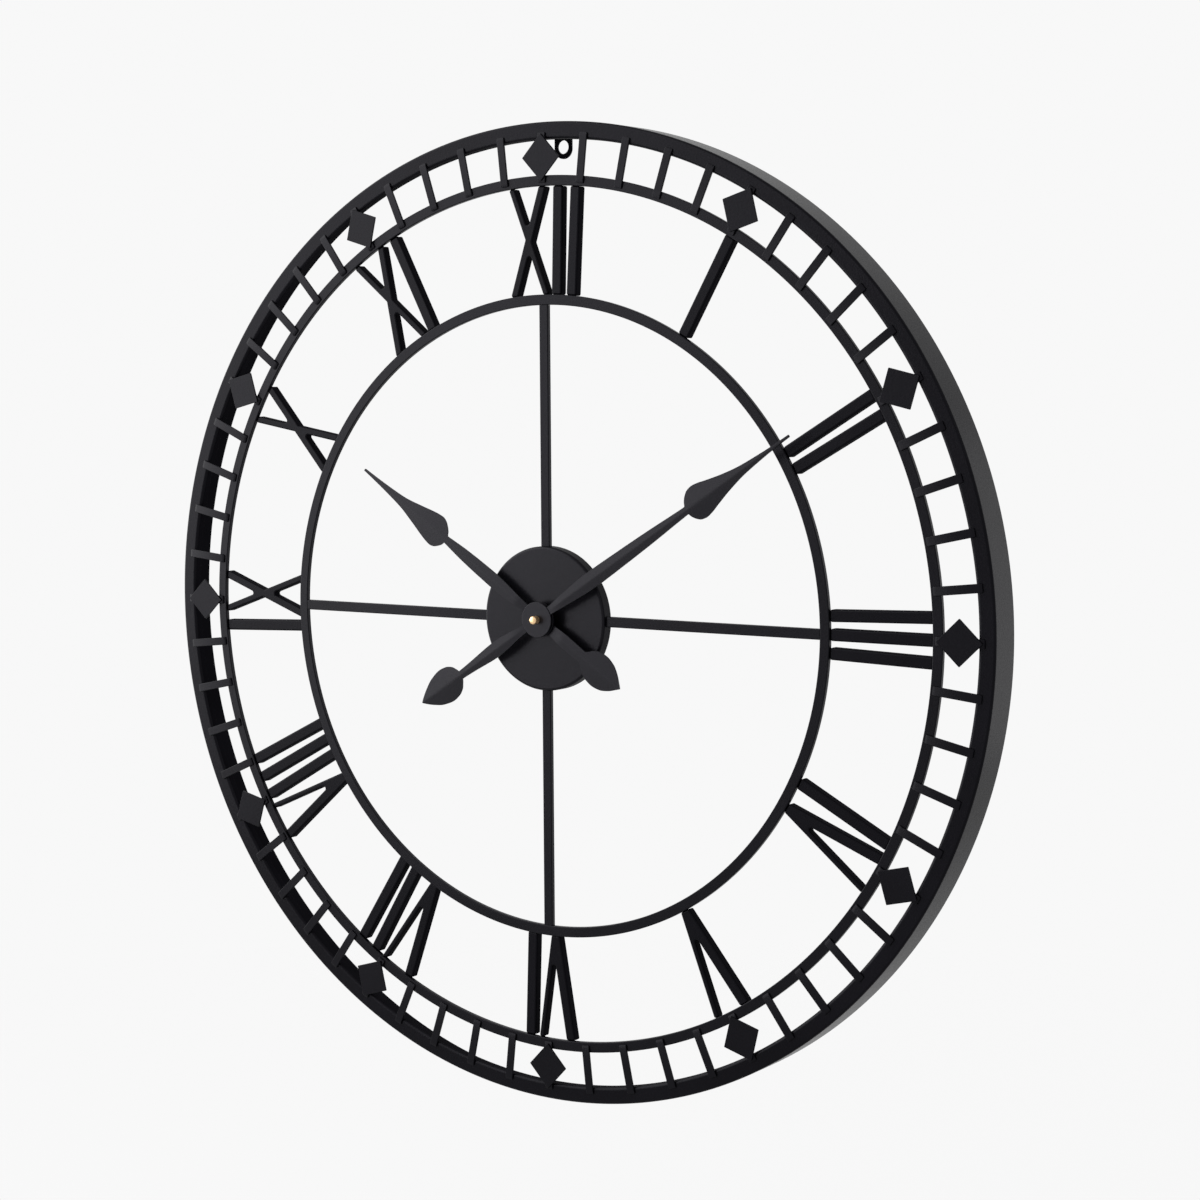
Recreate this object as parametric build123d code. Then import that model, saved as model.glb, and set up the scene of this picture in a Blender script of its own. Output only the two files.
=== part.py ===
from build123d import *
import math
import os

# Open wall clock: a rolled rim, two flat rings, pressed Roman numerals, four spokes
# and a pressed hub that carries a quartz movement with two spade hands.
# Millimetres, +X right, +Z up, the dial faces -Y. The origin is the middle of the
# clock's box: on the dial axis, half way from the wall to the tip of the hand nut.
# A depth is a distance from the wall, counted towards the viewer.

# Rim: one strip rolled into a hoop, with a front flange and a short turned lip
RIM_R = 400.0
RIM_DEPTH = 32.0
RIM_SHEET = 1.5
FLANGE_W = 14.0
LIP_DEPTH = 7.0
RIM_BEND_R = 2.5

# Flat bar of the rings and spokes
BAR_W = 8.4
BAR_T = 4.0
BAR_EDGE_R = 0.6
MINUTE_TRACK_W = 28.5
NUMERAL_H = 86.6
WELD_GAP = 0.15

# Minute bars and hour diamonds, laid on the front of the rings
MINUTES = 60
HOURS = 12
TICK_W = 6.9
TICK_T = 1.5
TICK_EDGE_R = 0.4
TICK_LAP_TRACK = 6.0
TICK_LAP_RIM = 5.5
DIAMOND_W = 36.0
DIAMOND_H = 38.0
DIAMOND_T = 1.2
DIAMOND_EDGE_R = 0.3

# Numerals: sheet pressed into shallow trays, open at the back
NUMERAL_SETBACK = 1.5
NUMERAL_T = 7.0
NUMERAL_SHEET = 0.9
NUMERAL_EDGE_R = 1.3
NUMERAL_CORNER_R = 1.8
NUMERAL_FAN = 0.85
I_W = 9.5
V_W = 36.0
V_THICK = 8.7
V_THIN = 4.5
V_FOOT_W = 8.4
X_W = 37.5
X_THICK = 7.3
X_THIN = 6.0
CROTCH_R = 1.6
GAP_II = 7.5
GAP_VI = 4.25
GAP_XI = 7.0

# Hub pan
HUB_R = 59.0
HUB_PROUD = 3.0
HUB_PAN_DEPTH = 10.5
HUB_SHEET = 1.2
HUB_BEND_R = 2.0

# Hanging tab, welded inside the rim at the top
HANGER_W = 16.5
HANGER_T = 2.0
HANGER_FROM_WALL = 0.5
HANGER_HOLE_R = 5.5
HANGER_HOLE_DROP = 16.5
HANGER_FOOT = 4.0

# Movement case, cover and battery bay
CASE_DEPTH = 16.5
CASE_WALL = 1.5
CASE_CORNER_R = 3.0
COVER_GAP = 0.2
PAD_T = 0.8
PAD_R = 20.0
BATTERY_R = 7.15
BATTERY_L = 49.5
BATTERY_NUB_R = 2.75
BATTERY_NUB_L = 1.0
BATTERY_GAP = 0.25
CONTACT_T = 0.5
CONTACT_W = 9.0
POSITIVE_LEAF = 0.25
NEGATIVE_LEAF = 1.25

# Hand shafts, bush and fixings, from the outside in
BUSH_R = 4.0
BUSH_SHOULDER_R = 5.0
BUSH_END = 0.5
NUT_FLATS = 12.0
NUT_T = 2.5
WASHER_R = 8.0
WASHER_T = 0.5
HOUR_PIPE_R = 2.6
ARBOR_R = 1.75
ARBOR_BACK_R = 1.2
RUN_CLEAR = 0.07
SLIP_CLEAR = 0.03
BODY_CLEAR = 0.4

# Hands
HAND_T = 0.8
HAND_RIDGE = 1.0
BOSS_R = 14.5
BOSS_T = 1.4
COLLET_WALL = 1.5
COLLET_L = 2.1
HAND_NUT_R = 3.3
HAND_NUT_L = 6.2
HAND_NUT_BORE_L = 3.0
HAND_NUT_EDGE_R = 0.8
NEEDLE_W = 1.8
NECK_W = 6.4
SPADE_W = 28.0
LEAF_W = 29.0
MINUTE_AT_DEG = 57.3
MINUTE_TIP = 279.0
MINUTE_SHOULDER = 184.0
MINUTE_BASE = 171.0
MINUTE_BELLY = 65.0
MINUTE_BELLY_W = 14.0
MINUTE_TAIL_BELLY = 47.0
MINUTE_TAIL_NECK = 93.0
MINUTE_LEAF = 110.0
MINUTE_TAIL_TIP = 140.0
HOUR_AT_DEG = 303.6
HOUR_TIP = 215.0
HOUR_SHOULDER = 125.0
HOUR_BASE = 113.5
HOUR_BELLY = 50.0
HOUR_BELLY_W = 12.4
HOUR_TAIL_BELLY = 32.0
HOUR_TAIL_NECK = 52.0
HOUR_LEAF = 70.0
HOUR_TAIL_TIP = 94.0

# Wheel train: modules, tooth counts, thicknesses and the lie of each wheel
MODULE_CANNON = 0.40
TEETH_CANNON = 12
TEETH_MINUTE_WHEEL = 36
TEETH_MINUTE_PINION = 10
TEETH_HOUR_WHEEL = 40
TEETH_SETTING = 12
MODULE_CENTRE = 0.30
TEETH_CENTRE = 60
TEETH_THIRD_PINION = 8
MODULE_THIRD = 0.25
TEETH_THIRD = 64
TEETH_FOURTH_PINION = 8
MODULE_FOURTH = 0.25
TEETH_FOURTH = 60
TEETH_FIFTH_PINION = 10
MODULE_FIFTH = 0.24
TEETH_FIFTH = 50
TEETH_ROTOR = 10
MINUTE_WHEEL_DEG = 0.0
THIRD_DEG = 120.0
FOURTH_DEG = 60.0
FIFTH_DEG = 0.0
ROTOR_DEG = 0.0
WHEEL_T = 1.0
PINION_OVERLAP = 0.3
LAYER_STEP = 1.9
STAFF_R = 0.6
PIVOT_R = 0.4
PIVOT_L = 0.7
PIVOT_CLEAR = 0.05
POST_R = 0.8
ROTOR_MAGNET_R = 3.0
ROTOR_MAGNET_L = 3.0
ROTOR_AIR = 0.5
KNOB_R = 6.0
KNOB_T = 3.0
KNOB_GAP = 0.6
KNOB_FLUTES = 18
KNOB_FLUTE_R = 0.6

# Motor coil, stator and circuit board
STATOR_T = 0.8
STATOR_ARM_W = 2.2
STATOR_COLLAR = 1.6
COIL_CORE_W = 2.0
COIL_R = 3.0
COIL_L = 12.0
COIL_FLANGE_T = 0.8
COIL_OFFSET = 7.2
COIL_GAP = 0.85
BOARD_W = 11.0
BOARD_H = 18.0
BOARD_T = 1.0
BOARD_POST_R = 1.5
CRYSTAL_R = 1.0
CRYSTAL_L = 6.0
CHIP_R = 2.4
CHIP_H = 0.9

# Depths that follow from the sizes above
HUB_FACE = RIM_DEPTH + HUB_PROUD
CASE_FRONT = HUB_FACE - HUB_SHEET - PAD_T
CASE_BACK = CASE_FRONT - CASE_DEPTH
BAY_FRONT = CASE_FRONT - CASE_WALL
COVER_FRONT = CASE_BACK + CASE_WALL
WASHER_FRONT = HUB_FACE + WASHER_T
NUT_FRONT = WASHER_FRONT + NUT_T
BUSH_FRONT = NUT_FRONT + BUSH_END
HOUR_COLLET_BACK = BUSH_FRONT + BODY_CLEAR
HOUR_HAND_BACK = HOUR_COLLET_BACK + COLLET_L
HOUR_HAND_FRONT = HOUR_HAND_BACK + BOSS_T
HOUR_PIPE_FRONT = HOUR_HAND_FRONT + BODY_CLEAR / 2
MINUTE_COLLET_BACK = HOUR_PIPE_FRONT + BODY_CLEAR
MINUTE_HAND_BACK = MINUTE_COLLET_BACK + COLLET_L / 2
MINUTE_HAND_FRONT = MINUTE_HAND_BACK + BOSS_T
NOSE = MINUTE_HAND_FRONT + HAND_NUT_L
WALL_Y = NOSE / 2

# Radii that follow from the sizes above
FLANGE_R_IN = RIM_R - FLANGE_W
TRACK_R_OUT = FLANGE_R_IN - MINUTE_TRACK_W
TRACK_R_IN = TRACK_R_OUT - BAR_W
INNER_R_OUT = TRACK_R_IN - NUMERAL_H
INNER_R_IN = INNER_R_OUT - BAR_W
RIM_BAND_R_IN = RIM_R - RIM_SHEET
HANGER_HOLE_Z = RIM_BAND_R_IN - HANGER_HOLE_DROP
PIPE_BORE_R = ARBOR_R + RUN_CLEAR
BUSH_BORE_R = HOUR_PIPE_R + RUN_CLEAR

os.makedirs("parts", exist_ok=True)


# Helpers
def front_plane(depth):
    """Plane facing the viewer at a depth, with local x to the right and local y up."""
    return Plane(origin=(0, WALL_Y - depth, 0), x_dir=(1, 0, 0), z_dir=(0, -1, 0))


def slab(sketch, depth, thickness):
    """Flat piece whose back lies at a depth and whose front faces the viewer."""
    return extrude(front_plane(depth) * sketch, amount=thickness)


def rod(x, z, back, front, radius):
    """Round bar along the dial axis direction, between two depths."""
    return slab(Pos(x, z) * Circle(radius), back, front - back)


def tube(x, z, back, front, radius, bore):
    """Round bar with a through bore."""
    return slab(Pos(x, z) * (Circle(radius) - Circle(bore)), back, front - back)


def corner_picked(face, points, radius):
    """Face with the corners nearest to the given points rounded."""
    picked = []
    for point in points:
        goal = Vector(*point)
        picked.append(min(face.vertices(), key=lambda v: (v.center() - goal).length))
    return fillet(picked, radius)


def turned(outline, rounds):
    """Ring turned about the dial axis from (radius, depth) points; rounds lists (corners, radius)."""
    def place(point):
        return (point[0], WALL_Y - point[1])

    face = make_face(Polyline(*[place(p) for p in outline], close=True))
    for corners, radius in rounds:
        face = corner_picked(face, [place(c) for c in corners], radius)
    return revolve(face, Axis.Y)


def clockwise(degrees):
    """Turn about the dial axis, clockwise as the viewer sees it."""
    return Rot(0, degrees, 0)


def ring_zone(outer, inner):
    """Flat annulus."""
    return Circle(outer) - Circle(inner)


def front_edges(solid):
    """Edges round the face nearest to the viewer."""
    return solid.faces().sort_by(Axis.Y)[0].edges()


def save(shape, node):
    """Write one node."""
    export_step(shape, f"parts/{node}.step")


# Rim hoop
def rim_hoop():
    front = RIM_DEPTH
    inner_r = FLANGE_R_IN + RIM_SHEET
    outline = [
        (RIM_R, 0),
        (RIM_R, front),
        (FLANGE_R_IN, front),
        (FLANGE_R_IN, front - LIP_DEPTH),
        (inner_r, front - LIP_DEPTH),
        (inner_r, front - RIM_SHEET),
        (RIM_BAND_R_IN, front - RIM_SHEET),
        (RIM_BAND_R_IN, 0),
    ]
    outside = [(RIM_R, front), (FLANGE_R_IN, front)]
    inside = [(inner_r, front - RIM_SHEET), (RIM_BAND_R_IN, front - RIM_SHEET)]
    return turned(outline, [(outside, RIM_BEND_R), (inside, RIM_BEND_R - RIM_SHEET)])


# Flat rings
def flat_ring(inner):
    outer = inner + BAR_W
    back = RIM_DEPTH - BAR_T
    corners = [(inner, back), (outer, back), (outer, RIM_DEPTH), (inner, RIM_DEPTH)]
    return turned(corners, [(corners, BAR_EDGE_R)])


# Minute bars and hour diamonds
def minute_bars():
    start = TRACK_R_OUT - TICK_LAP_TRACK
    end = FLANGE_R_IN + TICK_LAP_RIM
    blank = Pos(0, (start + end) / 2) * Rectangle(TICK_W, end - start)
    bar = slab(blank, RIM_DEPTH, TICK_T)
    bar = fillet(front_edges(bar), TICK_EDGE_R)
    return Compound([clockwise(360 * k / MINUTES) * bar for k in range(MINUTES)])


def hour_diamonds():
    centre = (TRACK_R_OUT + FLANGE_R_IN) / 2
    half_w = DIAMOND_W / 2
    half_h = DIAMOND_H / 2
    outline = Polyline((-half_w, 0), (0, -half_h), (half_w, 0), (0, half_h), close=True)
    plate = slab(Pos(0, centre) * make_face(outline), RIM_DEPTH + TICK_T, DIAMOND_T)
    plate = fillet(front_edges(plate), DIAMOND_EDGE_R)
    return Compound([clockwise(360 * k / HOURS) * plate for k in range(HOURS)])


# Numerals
NUMERAL_TOP = TRACK_R_IN - WELD_GAP
NUMERAL_FOOT = INNER_R_OUT + WELD_GAP
NUMERAL_SPAN = NUMERAL_TOP - NUMERAL_FOOT
NUMERAL_SPARE = BAR_W


def fanned(x, radius):
    """Sideways place of a stroke: full at the track ring, closer together at the inner ring."""
    return x * (1 - (1 - NUMERAL_FAN) * (NUMERAL_TOP - radius) / NUMERAL_SPAN)


NUMERAL_LOW = NUMERAL_FOOT - NUMERAL_SPARE
NUMERAL_HIGH = NUMERAL_TOP + NUMERAL_SPARE


def edge_at(top, foot, radius):
    """Sideways place, at a radius, of a straight edge given at the track ring and at the inner ring."""
    return foot + (top - foot) * (radius - NUMERAL_FOOT) / NUMERAL_SPAN


def crossing(first, second):
    """Point where two straight edges, each (top, foot), meet."""
    lean = (first[0] - first[1]) - (second[0] - second[1])
    radius = NUMERAL_FOOT + NUMERAL_SPAN * (second[1] - first[1]) / lean
    return (edge_at(*first, radius), radius)


def low_end(*edges):
    return [(edge_at(*edge, NUMERAL_LOW), NUMERAL_LOW) for edge in edges]


def high_end(*edges):
    return [(edge_at(*edge, NUMERAL_HIGH), NUMERAL_HIGH) for edge in edges]


def glyph_i(x):
    foot = fanned(x, NUMERAL_FOOT)
    half = I_W / 2
    left = (x - half, foot - half)
    right = (x + half, foot + half)
    return make_face(Polyline(*low_end(left, right), *high_end(right, left), close=True))


def glyph_v(x):
    foot = fanned(x, NUMERAL_FOOT)
    left = (x - V_W / 2, foot - V_FOOT_W / 2)
    right = (x + V_W / 2, foot + V_FOOT_W / 2)
    thick = (left[0] + V_THICK, left[1] + V_THICK)
    thin = (right[0] - V_THIN, right[1] - V_THIN)
    crotch = crossing(thick, thin)
    corners = low_end(left, right) + high_end(right, thin) + [crotch] + high_end(thick, left)
    return corner_picked(make_face(Polyline(*corners, close=True)), [crotch], CROTCH_R)


def glyph_x(x):
    foot = fanned(x, NUMERAL_FOOT)
    left, right = x - X_W / 2, x + X_W / 2
    foot_left, foot_right = foot - X_W / 2, foot + X_W / 2
    thick_over = (right - X_THICK, foot_left)
    thick_under = (right, foot_left + X_THICK)
    thin_over = (left + X_THIN, foot_right)
    thin_under = (left, foot_right - X_THIN)
    below = crossing(thick_under, thin_under)
    beside = crossing(thick_under, thin_over)
    above = crossing(thick_over, thin_over)
    opposite = crossing(thick_over, thin_under)
    corners = low_end(thick_over, thick_under) + [below] + low_end(thin_under, thin_over)
    corners += [beside] + high_end(thick_under, thick_over) + [above]
    corners += high_end(thin_over, thin_under) + [opposite]
    outline = make_face(Polyline(*corners, close=True))
    return corner_picked(outline, [below, beside, above, opposite], CROTCH_R)


GLYPHS = {"I": (glyph_i, I_W), "V": (glyph_v, V_W), "X": (glyph_x, X_W)}
GAPS = {"II": GAP_II, "IV": GAP_VI, "VI": GAP_VI, "IX": GAP_XI, "XI": GAP_XI}
NUMERALS = ["I", "II", "III", "IV", "V", "VI", "VII", "VIII", "IX", "X", "XI", "XII"]


def end_rounded(outline):
    """Outline with the corners at its stroke ends rounded."""
    ends = []
    for vertex in outline.vertices():
        radius = math.hypot(vertex.X, vertex.Y)
        if min(abs(radius - NUMERAL_TOP), abs(radius - NUMERAL_FOOT)) < WELD_GAP:
            ends.append(vertex)
    return fillet(ends, NUMERAL_CORNER_R)


def pressed_tray(outline):
    """Sheet tray with a rounded front edge, closed towards the viewer and open behind."""
    back = RIM_DEPTH - NUMERAL_SETBACK - NUMERAL_T
    tray = slab(outline, back, NUMERAL_T)
    tray = fillet(front_edges(tray), NUMERAL_EDGE_R)
    hollow = offset(outline, amount=-NUMERAL_SHEET)
    return tray - slab(hollow, back, NUMERAL_T - NUMERAL_SHEET)


def numeral(text):
    """All strokes of one numeral, centred at twelve o'clock."""
    gaps = [GAPS[a + b] for a, b in zip(text, text[1:])]
    width = sum(GLYPHS[letter][1] for letter in text) + sum(gaps)
    zone = ring_zone(NUMERAL_TOP, NUMERAL_FOOT)
    trays = []
    x = -width / 2
    for letter, gap in zip(text, gaps + [0]):
        make_glyph, glyph_w = GLYPHS[letter]
        outline = make_glyph(x + glyph_w / 2) & zone
        trays.append(pressed_tray(end_rounded(outline.faces().sort_by(Axis.Y)[-1])))
        x += glyph_w + gap
    return Compound(trays)


# Spokes and hub
def spokes():
    zone = slab(ring_zone(INNER_R_IN - WELD_GAP, HUB_R + WELD_GAP), 0, NOSE)
    bar = slab(Pos(0, INNER_R_IN / 2) * Rectangle(BAR_W, INNER_R_IN), RIM_DEPTH - BAR_T, BAR_T)
    bar = fillet(bar.edges().filter_by(Axis.Z), BAR_EDGE_R) & zone
    return Compound([clockwise(90 * k) * bar for k in range(4)])


def hub_pan():
    hole = BUSH_R + SLIP_CLEAR
    back = HUB_FACE - HUB_PAN_DEPTH
    inner_r = HUB_R - HUB_SHEET
    inner_face = HUB_FACE - HUB_SHEET
    outline = [
        (hole, HUB_FACE),
        (HUB_R, HUB_FACE),
        (HUB_R, back),
        (inner_r, back),
        (inner_r, inner_face),
        (hole, inner_face),
    ]
    outside = [(HUB_R, HUB_FACE)]
    inside = [(inner_r, inner_face)]
    return turned(outline, [(outside, HUB_BEND_R), (inside, HUB_BEND_R - HUB_SHEET)])


def hanger_tab():
    foot = HANGER_HOLE_Z - HANGER_HOLE_R - HANGER_FOOT
    round_z = foot + HANGER_W / 2
    strip = Pos(0, (round_z + RIM_R) / 2) * Rectangle(HANGER_W, RIM_R - round_z)
    outline = strip + Pos(0, round_z) * Circle(HANGER_W / 2)
    outline = outline - Pos(0, HANGER_HOLE_Z) * Circle(HANGER_HOLE_R)
    outline = outline & Circle(RIM_BAND_R_IN - WELD_GAP)
    return slab(outline, HANGER_FROM_WALL, HANGER_T)


# Where the wheels turn: each centre follows from a mesh with the one before it
def meshed(centre, degrees, module, teeth_a, teeth_b):
    reach = module * (teeth_a + teeth_b) / 2
    turn = math.radians(degrees)
    return (centre[0] + reach * math.cos(turn), centre[1] + reach * math.sin(turn))


CENTRE = (0.0, 0.0)
MINUTE_WHEEL_AT = meshed(CENTRE, MINUTE_WHEEL_DEG, MODULE_CANNON, TEETH_CANNON, TEETH_MINUTE_WHEEL)
SETTING_AT = meshed(MINUTE_WHEEL_AT, MINUTE_WHEEL_DEG, MODULE_CANNON, TEETH_MINUTE_WHEEL, TEETH_SETTING)
THIRD_AT = meshed(CENTRE, THIRD_DEG, MODULE_CENTRE, TEETH_CENTRE, TEETH_THIRD_PINION)
FOURTH_AT = meshed(THIRD_AT, FOURTH_DEG, MODULE_THIRD, TEETH_THIRD, TEETH_FOURTH_PINION)
FIFTH_AT = meshed(FOURTH_AT, FIFTH_DEG, MODULE_FOURTH, TEETH_FOURTH, TEETH_FIFTH_PINION)
ROTOR_AT = meshed(FIFTH_AT, ROTOR_DEG, MODULE_FIFTH, TEETH_FIFTH, TEETH_ROTOR)
HOUR_SUM = TEETH_MINUTE_PINION + TEETH_HOUR_WHEEL
MODULE_HOUR = MODULE_CANNON * (TEETH_CANNON + TEETH_MINUTE_WHEEL) / HOUR_SUM

# Wheel layers from the front of the bay to the back: each value is a wheel's front depth
HOUR_LAYER = BAY_FRONT - BODY_CLEAR
MINUTE_LAYER = HOUR_LAYER - WHEEL_T - PINION_OVERLAP - BODY_CLEAR
CENTRE_LAYER = MINUTE_LAYER - LAYER_STEP
THIRD_LAYER = CENTRE_LAYER - LAYER_STEP
FOURTH_LAYER = THIRD_LAYER - LAYER_STEP
FIFTH_LAYER = FOURTH_LAYER - LAYER_STEP


# Toothed wheels
def toothed(teeth, module, first_tooth):
    """Outline of a wheel: each tooth is wide at the root, narrow at the tip, with free backlash."""
    pitch_r = module * teeth / 2
    flank = [
        (pitch_r - 1.25 * module, -0.22),
        (pitch_r, -0.16),
        (pitch_r + 0.8 * module, -0.07),
    ]
    profile = flank + [(radius, -share) for radius, share in reversed(flank)]
    points = []
    for k in range(teeth):
        for radius, share in profile:
            turn = math.radians(first_tooth + 360 * (k + share) / teeth)
            points.append((radius * math.cos(turn), radius * math.sin(turn)))
    return make_face(Polyline(*points, close=True))


def wheel(at, teeth, module, first_tooth, front, thickness=WHEEL_T):
    """Toothed disc whose front lies at a depth."""
    return slab(Pos(*at) * toothed(teeth, module, first_tooth), front - thickness, thickness)


def pinion(at, teeth, module, towards, front):
    """Small wheel, longer than its mate at both ends, with a tooth gap towards the mate."""
    gap_turn = towards + 180 / teeth
    overlap = PINION_OVERLAP
    return wheel(at, teeth, module, gap_turn, front + overlap, WHEEL_T + 2 * overlap)


def staff(at, back=COVER_FRONT, front=BAY_FRONT):
    """Thin arbor with a pivot at each end, between the cover and the front wall."""
    shoulder = PIVOT_L / 2
    body = rod(*at, back + shoulder, front - shoulder, STAFF_R)
    return body + rod(*at, back - PIVOT_L, front + PIVOT_L, PIVOT_R)


def pivot_holes(back, front):
    """Blind or open holes for every pivoted arbor, cut between two depths."""
    holes = [rod(*at, back, front, PIVOT_R + PIVOT_CLEAR) for at in PIVOTED]
    return Compound(holes)


PIVOTED = [THIRD_AT, FOURTH_AT, FIFTH_AT, ROTOR_AT]


def minute_arbor():
    back = COVER_FRONT - PIVOT_L
    shoulder = CENTRE_LAYER - WHEEL_T
    shaft = rod(*CENTRE, shoulder, MINUTE_HAND_FRONT + HAND_NUT_BORE_L - BODY_CLEAR, ARBOR_R)
    shaft += rod(*CENTRE, COVER_FRONT + PIVOT_L / 2, shoulder, ARBOR_BACK_R)
    shaft += rod(*CENTRE, back, COVER_FRONT + PIVOT_L, PIVOT_R)
    return shaft + pinion(CENTRE, TEETH_CANNON, MODULE_CANNON, MINUTE_WHEEL_DEG, MINUTE_LAYER)


def centre_wheel():
    disc = wheel(CENTRE, TEETH_CENTRE, MODULE_CENTRE, THIRD_DEG, CENTRE_LAYER)
    return disc - rod(*CENTRE, 0, NOSE, ARBOR_R + SLIP_CLEAR)


def hour_wheel():
    disc = wheel(CENTRE, TEETH_HOUR_WHEEL, MODULE_HOUR, MINUTE_WHEEL_DEG, HOUR_LAYER)
    pipe = rod(*CENTRE, HOUR_LAYER - WHEEL_T, HOUR_PIPE_FRONT, HOUR_PIPE_R)
    return disc + pipe - rod(*CENTRE, 0, NOSE, PIPE_BORE_R)


def minute_wheel():
    disc = wheel(MINUTE_WHEEL_AT, TEETH_MINUTE_WHEEL, MODULE_CANNON, MINUTE_WHEEL_DEG, MINUTE_LAYER)
    towards = MINUTE_WHEEL_DEG + 180
    leaf_turn = towards + 180 / TEETH_MINUTE_PINION
    length = BAY_FRONT - BODY_CLEAR + PINION_OVERLAP - MINUTE_LAYER
    leaves = wheel(
        MINUTE_WHEEL_AT, TEETH_MINUTE_PINION, MODULE_HOUR, leaf_turn, MINUTE_LAYER + length, length
    )
    return disc + leaves - rod(*MINUTE_WHEEL_AT, 0, NOSE, POST_R + PIVOT_CLEAR)


def train_wheel(at, wheel_teeth, wheel_module, wheel_towards, layer, leaf_teeth, leaf_module, leaf_towards):
    """Wheel of the going train with its pinion one layer in front, on one arbor."""
    disc = wheel(at, wheel_teeth, wheel_module, wheel_towards, layer)
    leaves = pinion(at, leaf_teeth, leaf_module, leaf_towards + 180, layer + LAYER_STEP)
    return disc + leaves + staff(at)


def third_wheel():
    return train_wheel(
        THIRD_AT, TEETH_THIRD, MODULE_THIRD, FOURTH_DEG, THIRD_LAYER,
        TEETH_THIRD_PINION, MODULE_CENTRE, THIRD_DEG,
    )


def fourth_wheel():
    return train_wheel(
        FOURTH_AT, TEETH_FOURTH, MODULE_FOURTH, FIFTH_DEG, FOURTH_LAYER,
        TEETH_FOURTH_PINION, MODULE_THIRD, FOURTH_DEG,
    )


def fifth_wheel():
    return train_wheel(
        FIFTH_AT, TEETH_FIFTH, MODULE_FIFTH, ROTOR_DEG, FIFTH_LAYER,
        TEETH_FIFTH_PINION, MODULE_FOURTH, FIFTH_DEG,
    )


ROTOR_MID = (THIRD_LAYER + FOURTH_LAYER) / 2


def motor_rotor():
    leaves = pinion(ROTOR_AT, TEETH_ROTOR, MODULE_FIFTH, ROTOR_DEG + 180, FIFTH_LAYER)
    back = ROTOR_MID - ROTOR_MAGNET_L / 2
    magnet = rod(*ROTOR_AT, back, back + ROTOR_MAGNET_L, ROTOR_MAGNET_R)
    return magnet + leaves + staff(ROTOR_AT)


def setting_knob():
    knob_front = CASE_BACK - KNOB_GAP
    blank = Circle(KNOB_R)
    for k in range(KNOB_FLUTES):
        turn = math.radians(360 * k / KNOB_FLUTES)
        blank -= Pos(KNOB_R * math.cos(turn), KNOB_R * math.sin(turn)) * Circle(KNOB_FLUTE_R)
    knob = slab(Pos(*SETTING_AT) * blank, knob_front - KNOB_T, KNOB_T)
    stem = rod(*SETTING_AT, knob_front, BAY_FRONT - BODY_CLEAR, ARBOR_BACK_R)
    stem += rod(*SETTING_AT, knob_front, BAY_FRONT + PIVOT_L, PIVOT_R)
    leaves = pinion(
        SETTING_AT, TEETH_SETTING, MODULE_CANNON, MINUTE_WHEEL_DEG + 180, MINUTE_LAYER
    )
    return knob + stem + leaves


# Movement case
COIL_AT = (ROTOR_AT[0] + COIL_OFFSET, ROTOR_AT[1])
STATOR_HALF = COIL_L / 2 + COIL_FLANGE_T + STATOR_ARM_W
CELL_ROOM = BATTERY_L + BATTERY_NUB_L + 2 * CONTACT_T + POSITIVE_LEAF + NEGATIVE_LEAF
MOTOR_REACH = max(COIL_AT[0] + COIL_R, ROTOR_AT[1] + STATOR_HALF)
BAY_HALF = max(CELL_ROOM / 2, MOTOR_REACH + COIL_GAP)
CASE_SIZE = 2 * (BAY_HALF + CASE_WALL)
BATTERY_X = CONTACT_T + NEGATIVE_LEAF + BATTERY_L / 2 - CELL_ROOM / 2
BATTERY_Z = BATTERY_R + BATTERY_GAP - BAY_HALF
SHELF_LOW = BATTERY_Z + BATTERY_R + BATTERY_GAP
SHELF_HIGH = SHELF_LOW + CASE_WALL
BATTERY_DEPTH = BAY_FRONT - BATTERY_GAP - BATTERY_R
COVER_HEIGHT = BAY_HALF - SHELF_HIGH
COVER_MID = (BAY_HALF + SHELF_HIGH) / 2
STATOR_FRONT = ROTOR_MID + STATOR_T / 2
BOARD_AT = (BOARD_W / 2 + COVER_GAP - BAY_HALF, BAY_HALF - COVER_GAP - BOARD_H / 2)
BOARD_FRONT = MINUTE_LAYER
BOARD_POSTS = [
    (BOARD_AT[0], BOARD_AT[1] + BOARD_H / 2 - BOARD_POST_R),
    (BOARD_AT[0], BOARD_AT[1] - BOARD_H / 2 + BOARD_POST_R),
]
STATOR_POSTS = [
    (ROTOR_AT[0], ROTOR_AT[1] + STATOR_HALF - STATOR_ARM_W / 2),
    (ROTOR_AT[0], ROTOR_AT[1] - STATOR_HALF + STATOR_ARM_W / 2),
]


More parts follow.
